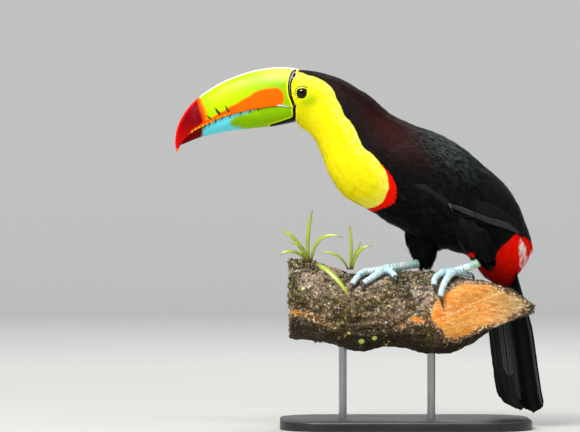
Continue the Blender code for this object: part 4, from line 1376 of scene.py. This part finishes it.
perch = {
    "voxel": 1.15, "lumps": 1.5, "furrows": 0.7, "tornEdge": 1.9, "lowest": -2.4, "highest": 1.8,
    "scar": [
        (21.6, 121), (30, 131), (41, 140.5), (53.4, 146.5), (68, 148), (82, 146), (97, 141), (109, 135.5),
        (123, 125), (120, 117.5), (103, 107), (81, 100), (61, 91), (46, 86), (37, 88), (30, 98), (22, 109)],
    "streaks": [
        [(-122, 119), (-105, 119), (-93, 115), (-82, 110), (-72, 104.5), (-63, 99), (-72, 99.5), (-84, 104),
         (-97, 110), (-122, 112)],
        [(-14, 98), (-4, 107), (6, 114.5), (16, 113), (25, 103), (16, 103.5), (6, 104), (-4, 99.5)]],
    "lichens": [
        (-43.7, 86.8, 3.2), (-31, 90.3, 2.9), (-56.4, 95.5, 2.4), (-102, 139.4, 2.2), (-75, 142, 1.6)],
    # dry pinkish bark: X, Z, length, width and slope in degrees
    "dry": [(-104, 152, 42, 14, -8), (8, 127, 20, 12, 20), (-20, 150, 28, 7, 0)],
    "dryBark": "#a58d7a",
    # the pale line along the bare wood, under which it is brightest
    "seam": [(30, 108.5), (48, 116), (66, 124.5), (82, 130.5), (96, 137)],
    "wood": "#f4a036", "woodPale": "#ffe8ae", "woodDark": "#8c4614", "woodRed": "#f07a20",
    "woodBrown": "#d08c42", "woodGrey": "#a38a58", "pit": "#2a1408", "rim": "#6b4a2a", "rimPale": "#e2cba0",
    "woodGlint": "#fff0dc", "bark": "#7c6242", "barkPale": "#bfa480", "barkDark": "#160f08", "crust": "#dcd2c4",
    "moss": "#5f5a24", "mossDark": "#35311a", "lichen": "#d2da78", "lichenRim": "#3a3a1a",
    "sprig": "#2d2a13", "sprigGreen": "#6a6426", "sprigBrown": "#4d3a22", "sprigDry": "#a8935c",
}


def barkMaterial():
    # weathered bark: rough, flaking, with painted shade in the furrows and raw orange wood where it broke
    material, add, shader = newMaterial("weathered_branch", Specular_IOR_Level=0.25)
    place = add("TexCoord", out="Object")
    mark = {label: add("Attribute." + label, out="Fac") for label in (
        "scar", "furrow", "lichen", "moss", "seam", "dry", "under")}
    dry = add("Math.MULTIPLY", [mark["dry"], 0.75])
    # painted shade on the underside and low down
    under = add("Math.MULTIPLY", [mark["under"], 0.85])
    axes = add("SeparateXYZ", [place]).node.outputs
    fibre = add("Mapping", {"Vector": place, "Rotation": (0.0, 0.35, 0.2), "Scale": (0.22, 1.0, 1.0)})
    fibre = add("TexNoise", {"Vector": fibre, "Scale": 420.0, "Detail": 4.0, "Roughness": 0.6})
    cloud = add("TexNoise", {"Vector": place, "Scale": 60.0, "Detail": 5.0, "Roughness": 0.65})
    crumb = add("TexNoise", {"Vector": place, "Scale": 380.0, "Detail": 5.0, "Roughness": 0.7})
    cells = add("TexVoronoi", {"Vector": place, "Scale": 240.0}, out="Distance")
    bark = layerColours(
        add, perch["bark"], ((cloud, 0.46, 0.60, 0.0, 0.8), perch["moss"]), (dry, perch["dryBark"]),
        (mark["moss"], perch["mossDark"]), ((crumb, 0.52, 0.62, 0.0, 0.7), perch["barkPale"]),
        ((crumb, 0.48, 0.38, 0.0, 0.95), perch["barkDark"]),
        ((cells, 0.25, 0.05, 0.0, 0.6), perch["barkDark"]), (under, perch["barkDark"]),
        # painted shade in the furrows
        ((mark["furrow"], 0.0, -0.5, 0.0, 0.85), perch["barkDark"]),
        ((add("Math.ADD", [crumb, axes[2]]), 0.72, 0.78), perch["crust"]))
    border = add("Math.MULTIPLY_ADD", [cloud, 14.0, -7.0])
    border = add("Math.ADD", [border, mark["scar"]])
    bareWood = add("MapRange.SMOOTHSTEP", [border, -0.8, 0.8])
    # brown and cracked above the seam, bright below it, grey towards the point
    above = add("MapRange", [mark["seam"], -1.0, 3.0, 0.0, 0.45])
    above = add("Math.MULTIPLY", [above, add("MapRange", [axes[0], 0.015, 0.035])])
    seam = add("Math.ABSOLUTE", [mark["seam"]])
    seam = add("Math.MULTIPLY_ADD", [crumb, 5.0, seam])
    seam = add("MapRange", [seam, 3.3, 2.5, 0.0, 0.6])
    point = add("MapRange", [axes[0], 0.072, 0.108, 0.0, 0.85])
    rim = add("MapRange", [border, 4.6, 3.0])
    rimmed = layerColours(add, perch["rim"], ((crumb, 0.5, 0.6), perch["rimPale"]))
    # painted glints on the torn fibres below the seam
    woodGlint = add("TexNoise", {"Vector": place, "Scale": 1000.0, "Detail": 2.0})
    woodGlint = add("Math.MULTIPLY", [
        add("MapRange", [woodGlint, 0.62, 0.68]), add("MapRange", [mark["seam"], 0.0, -9.0, 0.0, 0.9])])
    wood = layerColours(
        add, perch["wood"], (above, perch["woodBrown"]), ((cloud, 0.50, 0.66, 0.0, 0.7), perch["woodRed"]),
        (point, perch["woodGrey"]), ((fibre, 0.52, 0.74, 0.0, 0.6), perch["woodPale"]),
        ((fibre, 0.44, 0.28, 0.0, 0.55), perch["woodDark"]), ((crumb, 0.60, 0.66), perch["pit"]),
        (woodGlint, perch["woodGlint"]), (seam, perch["woodPale"]), (rim, rimmed))
    colour = layerColours(
        add, bark, (bareWood, wood), ((mark["lichen"], -0.5, 0.1), perch["lichenRim"]),
        ((mark["lichen"], 0.0, 0.7), perch["lichen"]))
    height = layerColours(add, crumb, (bareWood, fibre))
    feed(
        shader, Base_Color=colour, Roughness=add("MapRange", [crumb, 0.3, 0.7, 0.6, 0.9]),
        Normal=add("Bump", {"Height": height, "Distance": 0.0012, "Strength": 0.8}))
    return material


def makeBranch():
    made = remeshed(weldedCopy("branch", ["perch_branch"]), perch["voxel"], 4)
    points = meshPoints(made.data)
    normals = meshPoints(made.data, "normal")
    places = points[:, [0, 2]]
    front = softStep(normals[:, 1], 0.35, -0.1) > 0.4
    scar = outlineDistance(places, perch["scar"])
    for outline in perch["streaks"]:
        scar = np.maximum(scar, outlineDistance(places, outline))
    scar = np.where(front, scar, -12)
    toFeet = np.array([
        min(found.find_nearest(Vector(p * mm))[3] for found in footSurfaces) for p in points]) / mm
    free = softStep(toFeet, 1.5, 6.0)
    furrow = unevenness(points * (0.35, 1.0, 1.0), 3.6)
    fibres = unevenness(points @ np.array([[0.15, 0, 0.08], [0, 1, 0], [0, 0.2, 1.0]]), 1.9, 2)
    bare = softStep(scar, -2, 2)
    lift = perch["lumps"] * unevenness(points, 16.0) * free * (1 - 0.75 * bare)
    lift += perch["furrows"] * furrow * (0.25 + 0.75 * free) * (1 - bare) + (0.5 * fibres - 0.7) * bare * free
    lift += perch["tornEdge"] * softStep(np.abs(scar - 1), 4.0, 0.0) * unevenness(points, 3.2, 2) * free
    movePoints(made.data, points + normals * np.clip(lift, perch["lowest"], perch["highest"])[:, None])
    dress(made, barkMaterial())
    lichen = np.full(len(points), -9.0)
    for x, z, size in perch["lichens"]:
        lichen = np.maximum(lichen, size - np.hypot((places[:, 0] - x), (places[:, 1] - z) * 1.2))
    lichen = np.where(front, lichen, -9)
    mossy = softStep(unevenness(points, 24.0) + 0.25 * normals[:, 2], -0.05, 0.45) * (1 - bare)
    mossy *= softStep(lichen, 0.0, -1.5)
    angle = np.arctan2(points[:, 1] + 0.21 * points[:, 0], points[:, 2] - 118)
    seamX, seamZ = np.array(perch["seam"]).T
    seam = np.sign(places[:, 1] - np.interp(places[:, 0], seamX, seamZ)) * pathDistance(places, perch["seam"])
    dry = sum(slantedPatch(places, *patch) for patch in perch["dry"])
    # painted shade: the bark is darker on its underside and low down
    low = softStep(points[:, 2] + 5 * unevenness(points, 12.0, 2), 108, 86)
    under = np.maximum(softStep(-normals[:, 2], -0.1, 0.8), 0.85 * low)
    marks = {
        "scar": scar, "seam": seam, "dry": np.clip(dry, 0, 1), "under": under, "furrow": furrow,
        "lichen": lichen, "moss": mossy * 0.5, "onMoss": mossy * softStep(toFeet, 1.0, 3.0),
        "size": 1 + 0.3 * unevenness(points, 10.0, 1)}
    for label, values in marks.items():
        setAttribute(made.data, label, values)
    setAttribute(
        made.data, "flow", np.cross(normals, (0, 0, 1.0)) + normals * 0.9 + (0.3, 0, -0.4), "FLOAT_VECTOR")
    setAttribute(
        made.data, "place",
        np.stack([(points[:, 0] + 116) / 246, np.cos(angle), np.sin(angle)], -1),
        "FLOAT_VECTOR")
    return made


def mossMaterial():
    # dry moss: matt, olive to brown
    material, add, shader = newMaterial("dry_moss", Roughness=0.85, Specular_IOR_Level=0.15)
    tone = add("Attribute.tone", out="Fac")
    place = add("TexCoord", out="Object")
    cloud = add("TexNoise", {"Vector": place, "Scale": 80.0, "Detail": 2.0})
    colour = layerColours(
        add, perch["sprig"], (tone, perch["sprigGreen"]), ((cloud, 0.4, 0.65), perch["sprigBrown"]),
        ((tone, 0.86, 0.9), perch["sprigDry"]))
    feed(shader, Base_Color=colour)
    return material


branch = makeBranch()
sprig = wispShape("sprig", 5, 30, 0.5, 0.1, [(0.0, 0.9), (0.55, 0.9)])
growCoat(
    "mossSprigs", branch, mossMaterial(), "bark",
    "onMoss size flow scar seam dry under furrow lichen moss bib red white".split(),
    0.0, Shape=sprig, Where="onMoss", Spacing=1.5, Crowding=0.4, Length=3.4, Width=2.6, Lift=0.5, Stray=1.4,
    Rise=-0.4, Seed=23)
bpy.data.objects.remove(sprig)
keep(branch, "bark", "perch_branch")
print("branch made")

# seedlings rooted on the branch

seedlings = {
    # each leaf: its base, a point halfway and its tip in mm, and its half-width
    "leaves": [
        ((-96, -2, 166), (-97, -8, 192), (-92, -10, 219), 2.3),
        ((-94, -4, 166), (-84, -12, 189), (-62, -16, 190), 2.2),
        ((-99, -3, 166), (-110, -10, 188), (-124, -12, 196), 2.4),
        ((-98, -5, 166), (-112, -18, 176), (-126, -22, 172), 2.0),
        ((-90, -10, 164), (-72, -32, 152), (-54, -38, 128), 3.1),
        ((-97, -5, 165), (-104, -16, 181), (-116, -22, 184), 1.9),
        ((-55, -4, 158), (-54, -10, 180), (-56, -10, 205), 2.0),
        ((-53, -4, 158), (-46, -12, 176), (-33, -14, 182), 1.9),
        ((-57, -4, 158), (-68, -14, 172), (-84, -17, 175), 1.7),
        ((-54, -3, 158), (-50, -6, 172), (-44, -8, 186), 1.6)],
    "thick": 0.22, "green": "#8fae2c", "yellowGreen": "#b3b83a", "pale": "#d6d56a", "tip": "#a4502a",
    "base": "#6d4a26",
}


def leafMaterial():
    # thin leathery leaves, yellow-green with rusty tips
    material, add, shader = newMaterial("seedling_leaf", Roughness=0.38, Specular_IOR_Level=0.4)
    vane = add("SeparateXYZ", [add("Attribute.vane", out="Vector")]).node.outputs
    place = add("TexCoord", out="Object")
    cloud = add("TexNoise", {"Vector": place, "Scale": 160.0, "Detail": 3.0})
    aside = add("Math.ABSOLUTE", [vane[1]])
    colour = layerColours(
        add, seedlings["green"], ((cloud, 0.4, 0.7), seedlings["yellowGreen"]),
        ((aside, 0.35, 0.0, 0.0, 0.6), seedlings["pale"]), ((vane[0], 0.8, 1.0), seedlings["tip"]),
        ((vane[0], 0.2, 0.0), seedlings["base"]))
    feed(shader, Base_Color=colour)
    return material


def makeSeedlings():
    vertices, faces, vane = [], [], []
    rows, loop = 14, [0, 1, 2, 5, 4, 3]
    for base, halfway, tip, half in seedlings["leaves"]:
        base, halfway, tip = (np.array(p, float) for p in (base, halfway, tip))
        bent = 2 * halfway - (base + tip) / 2
        start = len(vertices)
        for t in np.linspace(0, 1, rows):
            point = base * (1 - t) ** 2 + bent * 2 * t * (1 - t) + tip * t ** 2
            ahead = (bent - base) * (1 - t) + (tip - bent) * t
            across = np.cross(ahead, (0.15, -1.0, 0.35))
            across /= max(np.linalg.norm(across), 1e-6)
            fold = np.cross(across, ahead / np.linalg.norm(ahead))
            wide = max(half * (0.55 + 0.9 * t) * (1 - t ** 2.2) ** 0.8, 0.05)
            for under in (0, 1):
                for aside in (-1, 0, 1):
                    height = 0.35 * wide * abs(aside) - seedlings["thick"] * under
                    vertices.append(point + across * wide * aside + fold * height)
                    vane.append((t, aside, under))
        for r in range(rows - 1):
            a = start + 6 * r
            faces += [(a + i, a + j, a + 6 + j, a + 6 + i) for i, j in zip(loop, loop[1:] + loop[:1])]
        for a in (start, start + 6 * (rows - 1)):
            faces += [(a, a + 1, a + 4, a + 3), (a + 1, a + 2, a + 5, a + 4)]
    piece = meshObject("seedlings", np.array(vertices) * mm, faces, leafMaterial(), outward=True)
    setAttribute(piece.data, "vane", vane, "FLOAT_VECTOR")
    keep(piece, "bark")


makeSeedlings()

# display stand

stand = {
    "black": "#0d0d0e", "blackLight": "#242425", "steel": "#8f9294", "steelLight": "#b9bcbe", "edge": 1.4,
}


def makeStand():
    # stained and lacquered wood base; ground steel rods
    material, add, shader = newMaterial(
        "black_lacquered_wood", Specular_IOR_Level=0.4, Coat_Weight=0.15, Coat_Roughness=0.3)
    place = add("TexCoord", out="Object")
    grain = add("Mapping", {"Vector": place, "Scale": (0.08, 1.0, 1.0)})
    grain = add("TexNoise", {"Vector": grain, "Scale": 300.0, "Detail": 4.0})
    feed(
        shader,
        Base_Color=layerColours(add, stand["black"], (grain, stand["blackLight"])),
        Roughness=add("MapRange", [grain, 0.3, 0.7, 0.35, 0.5]),
        Normal=add("Bump", {"Height": grain, "Distance": 0.0002, "Strength": 0.3}))
    base = weldedCopy("displayBase", ["stand_base"])
    dress(base, material)
    edge = base.modifiers.new("rounded edge", "BEVEL")
    edge.width, edge.segments, edge.angle_limit = stand["edge"] * mm, 4, math.radians(40)
    applied(base)
    base.data.shade_smooth()
    base.data.set_sharp_from_angle(angle=math.radians(30))
    keep(base, "stand_black", "stand_base")
    steel, add, shader = newMaterial("ground_steel", Metallic=1.0)
    place = add("TexCoord", out="Object")
    lines = add("Mapping", {"Vector": place, "Scale": (1.0, 1.0, 0.04)})
    lines = add("TexNoise", {"Vector": lines, "Scale": 1500.0, "Detail": 2.0})
    feed(
        shader,
        Base_Color=layerColours(add, stand["steel"], (lines, stand["steelLight"])),
        Roughness=add("MapRange", [lines, 0.3, 0.7, 0.28, 0.42]))
    for rod in ("stand_rod_front", "stand_rod_rear"):
        for held in nodes[rod].material_slots:
            held.material = steel


makeStand()
print("stand made")

bpy.context.view_layer.update()
